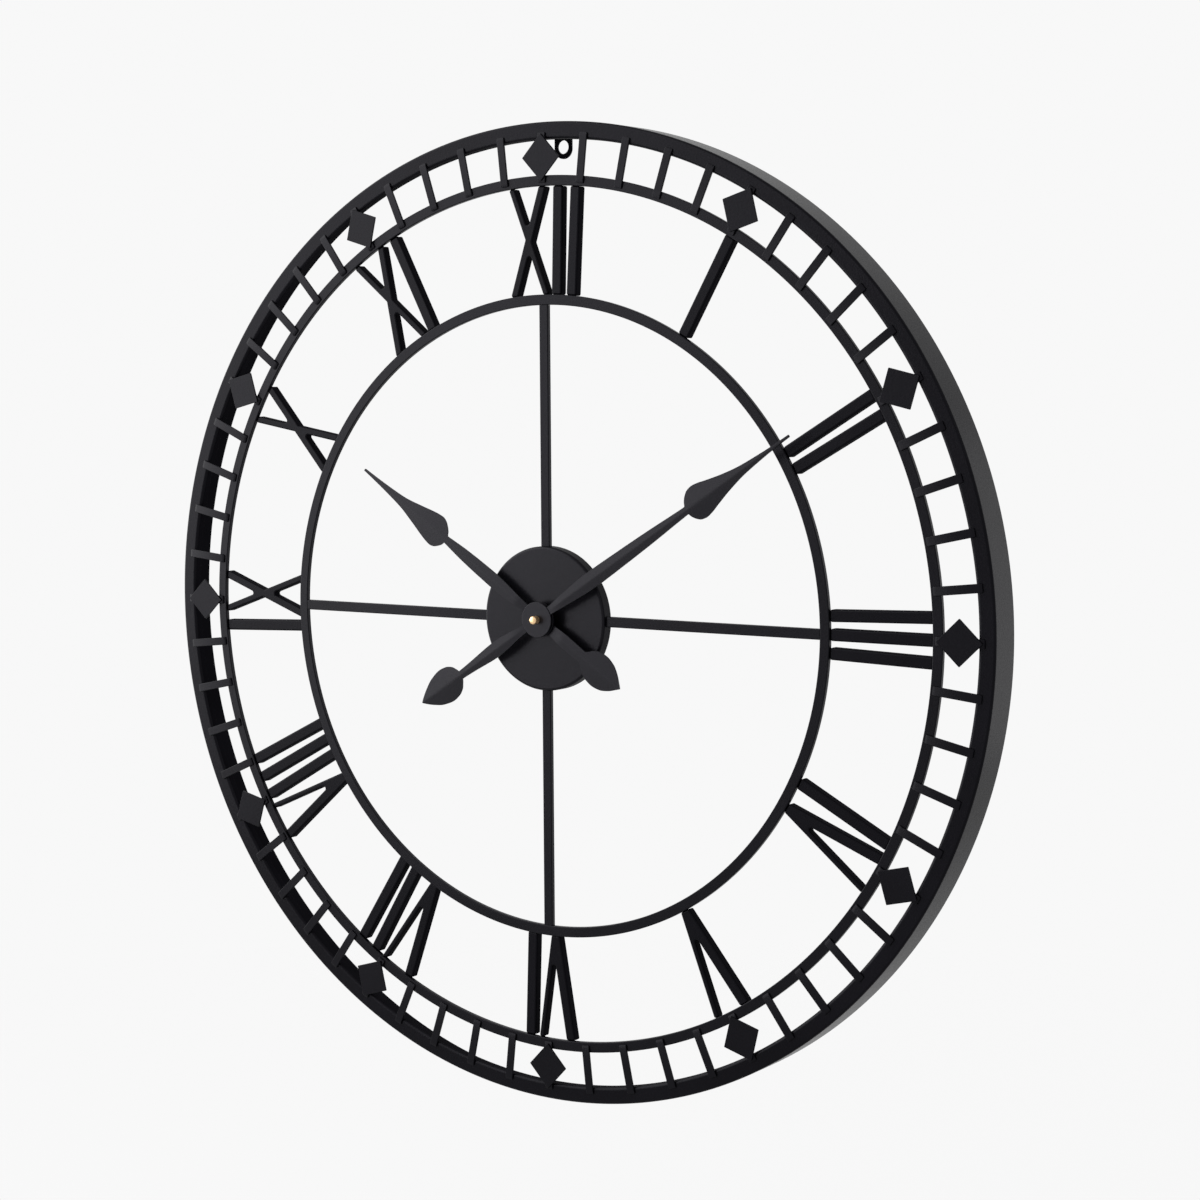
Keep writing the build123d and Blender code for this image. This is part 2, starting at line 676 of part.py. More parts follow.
def movement_case():
    shell = slab(RectangleRounded(CASE_SIZE, CASE_SIZE, CASE_CORNER_R), CASE_BACK, CASE_DEPTH)
    upper = Pos(0, COVER_MID) * Rectangle(2 * BAY_HALF, COVER_HEIGHT)
    lower_h = SHELF_LOW + BAY_HALF
    lower = Pos(0, SHELF_LOW - lower_h / 2) * Rectangle(2 * BAY_HALF, lower_h)
    shell -= slab(upper, CASE_BACK, BAY_FRONT - CASE_BACK)
    shell -= slab(lower, CASE_BACK, BAY_FRONT - CASE_BACK)
    shell -= rod(*CENTRE, 0, NOSE, BUSH_SHOULDER_R + SLIP_CLEAR)
    shell -= pivot_holes(0, BAY_FRONT + PIVOT_L + PIVOT_CLEAR)
    shell -= rod(*SETTING_AT, 0, BAY_FRONT + PIVOT_L + PIVOT_CLEAR, PIVOT_R + PIVOT_CLEAR)
    shell += rod(*MINUTE_WHEEL_AT, MINUTE_LAYER - WHEEL_T, BAY_FRONT, POST_R)
    for at in BOARD_POSTS:
        shell += rod(*at, BOARD_FRONT, BAY_FRONT, BOARD_POST_R)
    for at in STATOR_POSTS:
        shell += rod(*at, STATOR_FRONT, BAY_FRONT, STATOR_ARM_W / 2)
    return shell


def movement_cover():
    blank = Rectangle(2 * (BAY_HALF - COVER_GAP), COVER_HEIGHT - 2 * COVER_GAP)
    plate = slab(Pos(0, COVER_MID) * blank, CASE_BACK, CASE_WALL)
    depth = COVER_FRONT - PIVOT_L - PIVOT_CLEAR
    plate -= pivot_holes(depth, NOSE)
    plate -= rod(*CENTRE, depth, NOSE, PIVOT_R + PIVOT_CLEAR)
    return plate - rod(*SETTING_AT, 0, NOSE, ARBOR_BACK_R + RUN_CLEAR)


# Fixings of the movement
def threaded_bush():
    shoulder = rod(*CENTRE, BAY_FRONT, CASE_FRONT, BUSH_SHOULDER_R)
    barrel = rod(*CENTRE, CASE_FRONT, BUSH_FRONT, BUSH_R)
    return shoulder + barrel - rod(*CENTRE, 0, NOSE, BUSH_BORE_R)


def rubber_pad():
    return tube(*CENTRE, CASE_FRONT, CASE_FRONT + PAD_T, PAD_R, BUSH_R + SLIP_CLEAR)


def bush_washer():
    return tube(*CENTRE, HUB_FACE, WASHER_FRONT, WASHER_R, BUSH_R + SLIP_CLEAR)


def bush_nut():
    hexagon = RegularPolygon(NUT_FLATS / 2, 6, major_radius=False)
    return slab(hexagon - Circle(BUSH_R + SLIP_CLEAR), WASHER_FRONT, NUT_T)


# Motor and electrics
def stator():
    reach = COIL_AT[0] + COIL_CORE_W / 2 - ROTOR_AT[0]
    collar = ROTOR_MAGNET_R + ROTOR_AIR + STATOR_COLLAR
    blank = Circle(collar)
    blank += Rectangle(2 * STATOR_COLLAR, 2 * STATOR_HALF)
    for side in (-1, 1):
        arm_z = side * (STATOR_HALF - STATOR_ARM_W / 2)
        blank += Pos(reach / 2, arm_z) * Rectangle(reach, STATOR_ARM_W)
    blank -= Circle(ROTOR_MAGNET_R + ROTOR_AIR)
    return slab(Pos(*ROTOR_AT) * blank, STATOR_FRONT - STATOR_T, STATOR_T)


def coil_core():
    blank = Pos(*COIL_AT) * Rectangle(COIL_CORE_W, 2 * STATOR_HALF)
    return slab(blank, STATOR_FRONT, COIL_CORE_W)


def motor_coil():
    axis_y = WALL_Y - STATOR_FRONT - COIL_CORE_W / 2
    place = Pos(COIL_AT[0], axis_y, COIL_AT[1])
    winding = Cylinder(COIL_R - COIL_FLANGE_T, COIL_L)
    for side in (-1, 1):
        winding += Pos(0, 0, side * (COIL_L + COIL_FLANGE_T) / 2) * Cylinder(COIL_R, COIL_FLANGE_T)
    hole = COIL_CORE_W + 2 * SLIP_CLEAR
    return place * (winding - Box(hole, hole, COIL_L + 3 * COIL_FLANGE_T))


def circuit_board():
    board = slab(Pos(*BOARD_AT) * Rectangle(BOARD_W, BOARD_H), BOARD_FRONT - BOARD_T, BOARD_T)
    chip_at = (BOARD_AT[0], BOARD_AT[1] + BOARD_H / 4)
    back = BOARD_FRONT - BOARD_T - CHIP_H
    return board + rod(*chip_at, back, BOARD_FRONT - BOARD_T, CHIP_R)


def quartz_crystal():
    y = WALL_Y - BOARD_FRONT + BOARD_T + CRYSTAL_R
    place = Pos(BOARD_AT[0], y, BOARD_AT[1] - BOARD_H / 4)
    return place * Rot(0, 90, 0) * Cylinder(CRYSTAL_R, CRYSTAL_L)


def battery():
    y = WALL_Y - BATTERY_DEPTH
    nub_x = BATTERY_X + (BATTERY_L + BATTERY_NUB_L) / 2
    cell = Pos(BATTERY_X, y, BATTERY_Z) * Rot(0, 90, 0) * Cylinder(BATTERY_R, BATTERY_L)
    return cell + Pos(nub_x, y, BATTERY_Z) * Rot(0, 90, 0) * Cylinder(BATTERY_NUB_R, BATTERY_NUB_L)


def battery_contact(side, cell_end):
    """Bent strip between the bay's end wall and one end of the cell."""
    y = WALL_Y - BATTERY_DEPTH
    room = BAY_HALF - CONTACT_T - abs(cell_end)
    foot = Box(CONTACT_T, CONTACT_W, CONTACT_W)
    leaf = Box(room, CONTACT_W / 2, CONTACT_T)
    plate = Pos(side * (BAY_HALF - CONTACT_T / 2), y, BATTERY_Z) * foot
    return plate + Pos(side * (BAY_HALF - CONTACT_T - room / 2), y, BATTERY_Z) * leaf


# Hands
def hand_outline(tip, shoulder, base, belly, belly_w, tail_belly, tail_neck, leaf, tail_tip, tail_w):
    """Spade hand pointing up: needle, spade, lens-shaped shaft, tail shaft and a pointed leaf."""
    needle, neck, spade = NEEDLE_W / 2, NECK_W / 2, SPADE_W / 2
    half_leaf, half_tail = LEAF_W / 2, tail_w / 2
    spade_h, leaf_h = shoulder - base, leaf - tail_neck
    taper = tip - shoulder
    down, inward = (0, -1), (-1, 0)
    point = Line((0, tip), (needle, tip - NEEDLE_W))
    blade = Spline(
        (needle, tip - NEEDLE_W),
        (0.24 * spade, shoulder + 0.48 * taper),
        (0.72 * spade, shoulder + 0.16 * taper),
        (spade, shoulder),
        tangents=[down, down],
    )
    cheek = Spline(
        (spade, shoulder),
        (0.7 * spade, base + 0.22 * spade_h),
        (neck, base),
        tangents=[down, inward],
    )
    shaft = Spline((neck, base), (belly_w / 2, belly), (neck, 0), tangents=[down, (-0.12, -1)])
    tail = Spline((neck, 0), (half_tail, -tail_belly), (neck, -tail_neck), tangents=[(0.12, -1), down])
    round_in = Spline(
        (neck, -tail_neck),
        (0.75 * half_leaf, -tail_neck - 0.3 * leaf_h),
        (half_leaf, -leaf),
        tangents=[(1, 0), down],
    )
    ogive = Spline(
        (half_leaf, -leaf),
        (0.52 * half_leaf, -leaf - 0.68 * (tail_tip - leaf)),
        (0, -tail_tip),
        tangents=[down, (-0.7, -1)],
    )
    half = Curve() + [point, blade, cheek, shaft, tail, round_in, ogive]
    whole = half + mirror(half, Plane.YZ)
    return make_face(whole)


def hand(outline, back, bore, degrees):
    """Hand with a low ridge along its middle and a round boss."""
    top = HAND_T + HAND_RIDGE
    half = SPADE_W / 2
    eave = WALL_Y - back - HAND_T
    below = WALL_Y - back
    roof = Polyline(
        (-LEAF_W, below),
        (LEAF_W, below),
        (LEAF_W, eave + HAND_RIDGE * (LEAF_W / half - 1)),
        (0, below - top),
        (-LEAF_W, eave + HAND_RIDGE * (LEAF_W / half - 1)),
        close=True,
    )
    body = slab(outline, back, top)
    ridge = Pos(0, 0, -RIM_R) * extrude(make_face(roof), amount=2 * RIM_R)
    arms = (body & ridge) - rod(0, 0, back + BOSS_T, NOSE, BOSS_R)
    body = arms + rod(0, 0, back, back + BOSS_T, BOSS_R)
    return clockwise(degrees) * (body - rod(0, 0, 0, NOSE, bore))


def minute_hand():
    outline = hand_outline(
        MINUTE_TIP, MINUTE_SHOULDER, MINUTE_BASE, MINUTE_BELLY, MINUTE_BELLY_W,
        MINUTE_TAIL_BELLY, MINUTE_TAIL_NECK, MINUTE_LEAF, MINUTE_TAIL_TIP, MINUTE_BELLY_W,
    )
    return hand(outline, MINUTE_HAND_BACK, ARBOR_R + SLIP_CLEAR, MINUTE_AT_DEG)


def hour_hand():
    outline = hand_outline(
        HOUR_TIP, HOUR_SHOULDER, HOUR_BASE, HOUR_BELLY, HOUR_BELLY_W,
        HOUR_TAIL_BELLY, HOUR_TAIL_NECK, HOUR_LEAF, HOUR_TAIL_TIP, HOUR_BELLY_W,
    )
    return hand(outline, HOUR_HAND_BACK, HOUR_PIPE_R + SLIP_CLEAR, HOUR_AT_DEG)


def minute_collet():
    bore = ARBOR_R + SLIP_CLEAR
    return tube(*CENTRE, MINUTE_COLLET_BACK, MINUTE_HAND_BACK, bore + COLLET_WALL, bore)


def hour_collet():
    bore = HOUR_PIPE_R + SLIP_CLEAR
    return tube(*CENTRE, HOUR_COLLET_BACK, HOUR_HAND_BACK, bore + COLLET_WALL, bore)


def hand_nut():
    nut = rod(*CENTRE, MINUTE_HAND_FRONT, NOSE, HAND_NUT_R)
    nut = fillet(front_edges(nut), HAND_NUT_EDGE_R)
    return nut - rod(*CENTRE, MINUTE_HAND_FRONT, MINUTE_HAND_FRONT + HAND_NUT_BORE_L, ARBOR_R + SLIP_CLEAR)


# Write every node
save(rim_hoop(), "rim_hoop")
save(flat_ring(TRACK_R_IN), "track_ring")
save(flat_ring(INNER_R_IN), "inner_ring")
save(minute_bars(), "minute_bars")
save(hour_diamonds(), "hour_diamonds")
for hour, text in enumerate(NUMERALS, start=1):
    save(clockwise(360 * hour / HOURS) * numeral(text), f"numeral_{hour:02d}")
save(spokes(), "spokes")
save(hub_pan(), "hub_pan")
save(hanger_tab(), "hanger_tab")
save(movement_case(), "movement_case")
save(movement_cover(), "movement_cover")
save(threaded_bush(), "threaded_bush")
save(rubber_pad(), "rubber_pad")
save(bush_washer(), "bush_washer")
save(bush_nut(), "bush_nut")
save(stator(), "stator")
save(coil_core(), "coil_core")
save(motor_coil(), "motor_coil")
save(circuit_board(), "circuit_board")
save(quartz_crystal(), "quartz_crystal")
save(battery(), "battery")
save(battery_contact(1, BATTERY_X + BATTERY_L / 2 + BATTERY_NUB_L), "contact_positive")
save(battery_contact(-1, BATTERY_X - BATTERY_L / 2), "contact_negative")
save(minute_arbor(), "minute_arbor")
save(centre_wheel(), "centre_wheel")
save(hour_wheel(), "hour_wheel")
save(minute_wheel(), "minute_wheel")
save(third_wheel(), "third_wheel")
save(fourth_wheel(), "fourth_wheel")
save(fifth_wheel(), "fifth_wheel")
save(motor_rotor(), "motor_rotor")
save(setting_knob(), "setting_knob")
save(minute_hand(), "minute_hand")
save(hour_hand(), "hour_hand")
save(minute_collet(), "minute_collet")
save(hour_collet(), "hour_collet")
save(hand_nut(), "hand_nut")
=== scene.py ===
import math

import bmesh
import bpy
import numpy as np
from mathutils import Matrix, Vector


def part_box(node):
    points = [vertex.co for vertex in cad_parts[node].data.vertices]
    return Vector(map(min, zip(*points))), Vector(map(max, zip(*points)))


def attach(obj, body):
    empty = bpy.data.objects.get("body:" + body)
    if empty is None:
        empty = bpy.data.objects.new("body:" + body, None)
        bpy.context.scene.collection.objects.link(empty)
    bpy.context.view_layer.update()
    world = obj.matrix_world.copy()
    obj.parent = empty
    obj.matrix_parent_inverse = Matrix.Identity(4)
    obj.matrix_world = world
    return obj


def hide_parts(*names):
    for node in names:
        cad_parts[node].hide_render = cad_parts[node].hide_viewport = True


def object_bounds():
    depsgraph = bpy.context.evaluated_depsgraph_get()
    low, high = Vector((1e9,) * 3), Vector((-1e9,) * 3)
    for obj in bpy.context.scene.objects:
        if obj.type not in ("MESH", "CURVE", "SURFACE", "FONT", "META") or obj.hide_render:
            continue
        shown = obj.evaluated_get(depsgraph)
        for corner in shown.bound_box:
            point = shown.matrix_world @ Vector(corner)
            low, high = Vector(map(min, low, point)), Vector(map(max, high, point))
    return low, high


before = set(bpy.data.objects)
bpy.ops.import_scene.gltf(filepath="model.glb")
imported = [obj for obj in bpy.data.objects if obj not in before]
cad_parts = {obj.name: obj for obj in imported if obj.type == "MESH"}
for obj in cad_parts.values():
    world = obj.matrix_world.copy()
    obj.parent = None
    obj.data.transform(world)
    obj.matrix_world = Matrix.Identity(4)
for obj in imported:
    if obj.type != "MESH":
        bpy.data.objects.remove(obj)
cad_low, cad_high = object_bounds()

# Rim hoop. One steel strip rolled into a hoop: a deep band that stands against the wall,
# a narrow flange towards the viewer and a short lip turned back inside it.
# The whole dial frame is welded first and then powder coated satin black.
rim_low, rim_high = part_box("rim_hoop")
wall_y, dial_y, rim_r = rim_high.y, rim_low.y, rim_high.x
rim_strip, rim_flange, rim_lip = 0.0015, 0.014, 0.007
rim_bend, lip_bend, rim_burr = 0.0018, 0.0025, 0.0003
rim_inner = rim_r - rim_flange
coat_dark, coat_light = (0.0027, 0.0025, 0.0037, 1), (0.0048, 0.0045, 0.0065, 1)
coat_cool, coat_clouds = (0.92, 0.90, 1.0, 1), (0.32, 0.70)
coat_smoother, coat_rougher = 0.07, 0.09
cloud_field, peel_field, grain_field = (14, 4), (620, 2), (2600, 3)
grain_share, peel_depth, coat_shift = 0.35, 0.0003, (0.37, 0.11, 0.23)


def rounded_loop(corners, radii, steps=5, ease=0.0003):
    """Closed outline: each corner becomes an arc tangent to both sides, found by turning one radius
    into the other (slerp). One more point just before and after each arc keeps the flats flat."""
    corner = np.asarray(corners, float)
    radius = np.broadcast_to(np.asarray(radii, float), len(corner))[:, None]
    back = np.roll(corner, 1, 0) - corner
    ahead = np.roll(corner, -1, 0) - corner
    back /= np.linalg.norm(back, axis=1, keepdims=True)
    ahead /= np.linalg.norm(ahead, axis=1, keepdims=True)
    half = np.arccos(np.clip((back * ahead).sum(1), -1, 1))[:, None] / 2
    middle = back + ahead
    middle /= np.linalg.norm(middle, axis=1, keepdims=True)
    centre = corner + middle * radius / np.sin(half)
    start = corner + back * radius / np.tan(half)
    end = corner + ahead * radius / np.tan(half)
    sweep = (math.pi - 2 * half)[:, :, None]
    t = np.linspace(0, 1, steps + 1)[None, :, None]
    arc = np.sin((1 - t) * sweep) * (start - centre)[:, None] + np.sin(t * sweep) * (end - centre)[:, None]
    arc = centre[:, None] + arc / np.sin(sweep)
    points = [(start + back * ease)[:, None], arc, (end + ahead * ease)[:, None]]
    return np.concatenate(points, 1).reshape(-1, 2)


def hoop(section, turns=480):
    """Section of (radius, y) points carried round the dial axis: (r sin a, y, r cos a)."""
    angle = np.linspace(0, 2 * math.pi, turns, endpoint=False)[:, None]
    radius, y = section[:, 0], section[:, 1]
    x, z = radius * np.sin(angle), radius * np.cos(angle)
    return np.stack([x, np.broadcast_to(y, x.shape), z], -1)


def skin(name, grids, close_u=True, close_v=True, capped=False, sharp=40):
    """Mesh of point grids [copy, u, v, xyz]: a quad between neighbours in u and v. A capped grid is open
    in v, and a flat face shuts its first and last loop. Edges sharper than so many degrees stay crisp."""
    grids = np.asarray(grids, float)
    grids = grids[None] if grids.ndim == 3 else grids
    copies, rows, columns, _ = grids.shape
    index = np.arange(copies * rows * columns).reshape(copies, rows, columns)
    right, below = np.roll(index, -1, 1), np.roll(index, -1, 2)
    quads = np.stack([index, right, np.roll(right, -1, 2), below], -1)
    last_row = rows if close_u else rows - 1
    last_column = columns if close_v and not capped else columns - 1
    faces = quads[:, :last_row, :last_column].reshape(-1, 4).tolist()
    if capped:
        faces += index[:, :, 0].tolist() + index[:, :, -1].tolist()
    mesh = bpy.data.meshes.new(name)
    mesh.from_pydata(grids.reshape(-1, 3).tolist(), [], faces)
    shell = bmesh.new()
    shell.from_mesh(mesh)
    bmesh.ops.recalc_face_normals(shell, faces=shell.faces)
    shell.to_mesh(mesh)
    shell.free()
    mesh.polygons.foreach_set("use_smooth", np.ones(len(mesh.polygons), bool))
    mesh.set_sharp_from_angle(angle=math.radians(sharp))
    piece = bpy.data.objects.new(name, mesh)
    bpy.context.collection.objects.link(piece)
    return piece


def wire(tree, node, sockets):
    """Set a node's sockets: the output of another node is linked, and a plain value is written there."""
    for socket, value in sockets.items():
        if isinstance(value, bpy.types.NodeSocket):
            tree.links.new(value, node.inputs[socket])
        else:
            node.inputs[socket].default_value = value


def add_node(tree, kind, sockets=None, **settings):
    """New node of a kind, with its settings and its sockets."""
    node = tree.nodes.new("ShaderNode" + kind)
    for setting, value in settings.items():
        setattr(node, setting, value)
    wire(tree, node, sockets or {})
    return node


def new_finish(name, shift=(0, 0, 0)):
    """New material, its nodes, and the place on the piece that patterns read, shifted to tell coats apart."""
    material = bpy.data.materials.new(name)
    material.use_nodes = True
    tree = material.node_tree
    place = add_node(tree, "TexCoord").outputs["Object"]
    shifted = add_node(tree, "Mapping", {"Vector": place, "Location": shift})
    return material, tree, shifted.outputs["Vector"]


def noise(tree, place, scale, detail):
    """Cloudy field with so many lumps to the metre."""
    return add_node(tree, "TexNoise", {"Vector": place, "Scale": scale, "Detail": detail}).outputs["Fac"]


def ramp(tree, factor, stops, interpolation="LINEAR"):
    """Colour that follows a factor through stops of (position, colour)."""
    node = add_node(tree, "ValToRGB", {"Fac": factor})
    band = node.color_ramp
    band.interpolation = interpolation
    for element, (position, colour) in zip(band.elements, stops):
        element.position, element.color = position, colour
    for position, colour in stops[2:]:
        band.elements.new(position).color = colour
    return node.outputs["Color"]


def dress(tree, colour, sheen, height, strength, depth, plain=None):
    """Wire a finish into the shader: colour, sheen as (field, least, most roughness), a bump of a height
    field, and plain values on the shader's own sockets."""
    field, least, most = sheen
    roughness = add_node(tree, "MapRange", {"Value": field, "To Min": least, "To Max": most})
    bump = add_node(tree, "Bump", {"Height": height, "Strength": strength, "Distance": depth})
    surface = {
        "Base Color": colour,
        "Roughness": roughness.outputs["Result"],
        "Normal": bump.outputs["Normal"],
    }
    wire(tree, tree.nodes["Principled BSDF"], surface | (plain or {}))


def satin_black(name, seed, gloss=0.32, peel=0.2, shine=0.118):
    """Satin black powder coat: cloudy near-black tint, roughness uneven about gloss, and a bump of orange
    peel with fine grain. A very low shine makes it matt and dark, which serves as painted shade."""
    coat, tree, place = new_finish(name, [seed * step for step in coat_shift])
    cloud = noise(tree, place, *cloud_field)
    orange_peel = noise(tree, place, *peel_field)
    grain = noise(tree, place, *grain_field)
    tint = ramp(tree, cloud, list(zip(coat_clouds, (coat_dark, coat_light))))
    sheen = (orange_peel, gloss - coat_smoother, gloss + coat_rougher)
    relief = add_node(tree, "Mix", {"Factor": grain_share, "A": orange_peel, "B": grain}).outputs["Result"]
    gleam = {"Specular IOR Level": shine, "Specular Tint": coat_cool}
    dress(tree, tint, sheen, relief, peel, peel_depth, gleam)
    return coat


def fit_piece(piece, material, body, slot, *nodes):
    """Coat a piece, let it ride on its body and hide the solids that it stands for. Its slot is not used."""
    piece.data.materials.append(material)
    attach(piece, body)
    if nodes:
        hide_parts(*nodes)


rim_corners = np.array(
    [
        (rim_r, wall_y, rim_burr),
        (rim_r, dial_y, rim_bend),
        (rim_inner, dial_y, lip_bend),
        (rim_inner, dial_y + rim_lip, rim_burr),
        (rim_inner + rim_strip, dial_y + rim_lip, rim_burr),
        (rim_inner + rim_strip, dial_y + rim_strip, lip_bend - rim_strip),
        (rim_r - rim_strip, dial_y + rim_strip, rim_bend - rim_strip),
        (rim_r - rim_strip, wall_y, rim_burr),
    ]
)
rim_band = skin("rim_band", hoop(rounded_loop(rim_corners[:, :2], rim_corners[:, 2])))
rim_coat = satin_black("rim_coat", 1, gloss=0.29, peel=0.35, shine=0.068)
fit_piece(rim_band, rim_coat, "frame", "black_paint", "rim_hoop")
# Painted shade coat: a matt, low-shine black that darkens walls and insides as if they lay in shade.
painted_shade_black = satin_black("painted_shade_coat", 9, gloss=0.68, shine=0.015)


def painted_shade_coat(piece, picked, coat=painted_shade_black):
    """Painted shade: the faces that picked(middle, facing) marks get a matt, low-shine coat that darkens them
    as if they lay in shade.
    """
    faces = piece.data.polygons
    middle, facing = np.empty(3 * len(faces)), np.empty(3 * len(faces))
    faces.foreach_get("center", middle)
    faces.foreach_get("normal", facing)
    marked = picked(middle.reshape(-1, 3), facing.reshape(-1, 3))
    piece.data.materials.append(coat)
    faces.foreach_set("material_index", marked.astype(np.int32))


def inside_rim(middle, facing):
    """Faces of the rim's inner side, behind its front bend, which get the painted shade."""
    radius = np.hypot(middle[:, 0], middle[:, 2])
    return (radius < rim_r - rim_strip / 2) & (middle[:, 1] > dial_y + rim_bend)


# The inside of the rim gets painted shade.
painted_shade_coat(rim_band, inside_rim)

# Track ring and inner ring. Flat steel bar bent on edge into two rings that lie flush with the
# rim's flange. The outer one carries the minute bars, the inner one the feet of the numerals.
bar_w, bar_t, bar_edge = 0.0084, 0.004, 0.0006
track_r, inner_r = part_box("track_ring")[1].x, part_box("inner_ring")[1].x
ring_coat = satin_black("ring_coat", 2, shine=0.093)
for ring_node, ring_r in (("track_ring", track_r), ("inner_ring", inner_r)):
    ring_corners = [
        (ring_r, dial_y + bar_t),
        (ring_r, dial_y),
        (ring_r - bar_w, dial_y),
        (ring_r - bar_w, dial_y + bar_t),
    ]
    ring_bar = skin(ring_node + "_bar", hoop(rounded_loop(ring_corners, bar_edge, steps=3), turns=360))
    fit_piece(ring_bar, ring_coat, "frame", "black_paint", ring_node)

# Spokes. Four straight lengths of the same bar from the hub's wall to the inner ring, at twelve,
# three, six and nine. Both ends are cut hollow to fit and welded from behind.
hub_low, hub_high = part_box("hub_pan")
spoke_count, spoke_gap, spoke_rows = 4, 0.0001, 6
spoke_from, spoke_to = hub_high.x + spoke_gap, inner_r - bar_w - spoke_gap
spoke_degrees = 360 / spoke_count * np.arange(spoke_count)


def around_dial(x, y, z, degrees):
    """Points of a piece that stands at twelve, turned clockwise on the dial by each of the degrees:
    (x cos a + z sin a, y, z cos a - x sin a)."""
    turn = np.radians(np.asarray(degrees, float)).reshape((-1,) + (1,) * np.ndim(x))
    across = x * np.cos(turn) + z * np.sin(turn)
    up = z * np.cos(turn) - x * np.sin(turn)
    return np.stack([across, np.broadcast_to(y, across.shape), up], -1)


spoke_corners = [
    (-bar_w / 2, dial_y),
    (bar_w / 2, dial_y),
    (bar_w / 2, dial_y + bar_t),
    (-bar_w / 2, dial_y + bar_t),
]
spoke_section = rounded_loop(spoke_corners, bar_edge, steps=3)
spoke_x, spoke_y = spoke_section[:, :1], spoke_section[:, 1:]
spoke_low, spoke_high = np.sqrt(spoke_from**2 - spoke_x**2), np.sqrt(spoke_to**2 - spoke_x**2)
spoke_z = spoke_low + (spoke_high - spoke_low) * np.linspace(0, 1, spoke_rows)
spoke_bars = skin("spoke_bars", around_dial(spoke_x, spoke_y, spoke_z, spoke_degrees), capped=True)
fit_piece(spoke_bars, satin_black("spoke_coat", 3, shine=0.093), "frame", "black_paint", "spokes")

# Minute bars. Sixty short sheared strips laid across the minute track, spot welded to the front
# of the track ring and of the rim's flange. The twelve at the hours lie under the diamonds.
# Their ends are dressed down: a narrower and thinner tip, then a short slope to the full strip.
minute_count, tick_w, tick_t, tick_edge, tick_burr = 60, 0.0069, 0.0015, 0.0004, 0.0001
tick_lap, tick_in = 0.006, np.array([0, 0.0006, 0.0025])
tick_wide, tick_thick = np.array([0.84, 1, 1]), np.array([0.6, 0.72, 1])
tick_from, tick_to = track_r - tick_lap, -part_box("minute_bars")[0].x
tick_loop = rounded_loop(
    [(-tick_w / 2, 0), (tick_w / 2, 0), (tick_w / 2, tick_t), (-tick_w / 2, tick_t)],
    [tick_burr, tick_burr, tick_edge, tick_edge],
    steps=3,
    ease=tick_burr,
)
tick_grid = around_dial(
    tick_loop[:, :1] * np.concatenate([tick_wide, tick_wide[::-1]]),
    dial_y - tick_loop[:, 1:] * np.concatenate([tick_thick, tick_thick[::-1]]),
    np.concatenate([tick_from + tick_in, tick_to - tick_in[::-1]]),
    360 / minute_count * np.arange(minute_count),
)
minute_coat = satin_black("minute_coat", 4, shine=0.088)
fit_piece(skin("minute_strips", tick_grid, capped=True), minute_coat, "frame", "mark_paint", "minute_bars")

# Hour diamonds. Flat diamonds cut from thin sheet, one over the minute bar of each hour, welded
# to it from behind so that the front stays plain.
hour_count, diamond_w, diamond_h, diamond_t = 12, 0.036, 0.038, 0.0012
diamond_edge, diamond_corner, diamond_ease = 0.0003, 0.0005, (1.4, 1.3)
diamond_z = (track_r + rim_inner) / 2
diamond_back = dial_y - tick_t
diamond_front = diamond_back - diamond_t


def front_edge(front_y, edge, steps):
    """Quarter circle of (inset, y) levels, from the side of a plate to its front."""
    turn = np.linspace(0, math.pi / 2, steps + 1)
    return np.stack([edge * (1 - np.cos(turn)), front_y + edge * (1 - np.sin(turn))], 1)


def slab_levels(outline, levels):
    """Outline of (x, z) points repeated at levels of (inset, y): each point moves along the inward normal.
    Gives x, y and z."""
    ahead = np.roll(outline, -1, 0)
    step = ahead - np.roll(outline, 1, 0)
    step /= np.linalg.norm(step, axis=1, keepdims=True)
    area = (outline[:, 0] * ahead[:, 1] - outline[:, 1] * ahead[:, 0]).sum()
    inward = np.sign(area) * np.stack([-step[:, 1], step[:, 0]], 1)
    inset, y = np.asarray(levels, float).T
    flat = outline[:, None] + inward[:, None] * inset[None, :, None]
    return flat[..., 0], y, flat[..., 1]


diamond_corners = [
    (-diamond_w / 2, diamond_z),
    (0, diamond_z - diamond_h / 2),
    (diamond_w / 2, diamond_z),
    (0, diamond_z + diamond_h / 2),
]
diamond_levels = np.concatenate(
    [
        [(0, diamond_back), (0, diamond_front + diamond_ease[0] * diamond_edge)],
        front_edge(diamond_front, diamond_edge, steps=3),
        [(diamond_ease[1] * diamond_edge, diamond_front)],
    ]
)
diamond_slab = slab_levels(rounded_loop(diamond_corners, diamond_corner, steps=3), diamond_levels)
diamond_grid = around_dial(*diamond_slab, 360 / hour_count * np.arange(hour_count))
diamond_plates = skin("diamond_plates", diamond_grid, capped=True)
diamond_coat = satin_black("diamond_coat", 5, shine=0.08)
fit_piece(diamond_plates, diamond_coat, "frame", "mark_paint", "hour_diamonds")

# Numerals. Each stroke group is pressed from thin sheet into a shallow tray with a soft front
# edge, open behind, and stands between the two rings with its feet towards the centre.
# Thick strokes lean like a slash, thin ones the other way, as in cut Roman capitals.
numeral_top, numeral_foot = track_r - bar_w, inner_r
numeral_setback, numeral_t, numeral_sheet = 0.0015, 0.007, 0.0009
numeral_edge, numeral_soft, numeral_crotch, numeral_fan = 0.0014, 0.0016, 0.0018, 0.85
numeral_front, numeral_back = dial_y + numeral_setback, dial_y + numeral_setback + numeral_t
tray_inside, tray_side, tray_face = 0.0002, 1.2, 0.00005
stroke_i, wide_v, wide_x, foot_v = 0.0095, 0.036, 0.0375, 0.0084
thick_v, thin_v, thick_x, thin_x = 0.0087, 0.0045, 0.0073, 0.0060
numeral_widths = {"I": stroke_i, "V": wide_v, "X": wide_x}
numeral_gaps = {"II": 0.0075, "IV": 0.00425, "VI": 0.00425, "IX": 0.007, "XI": 0.007}
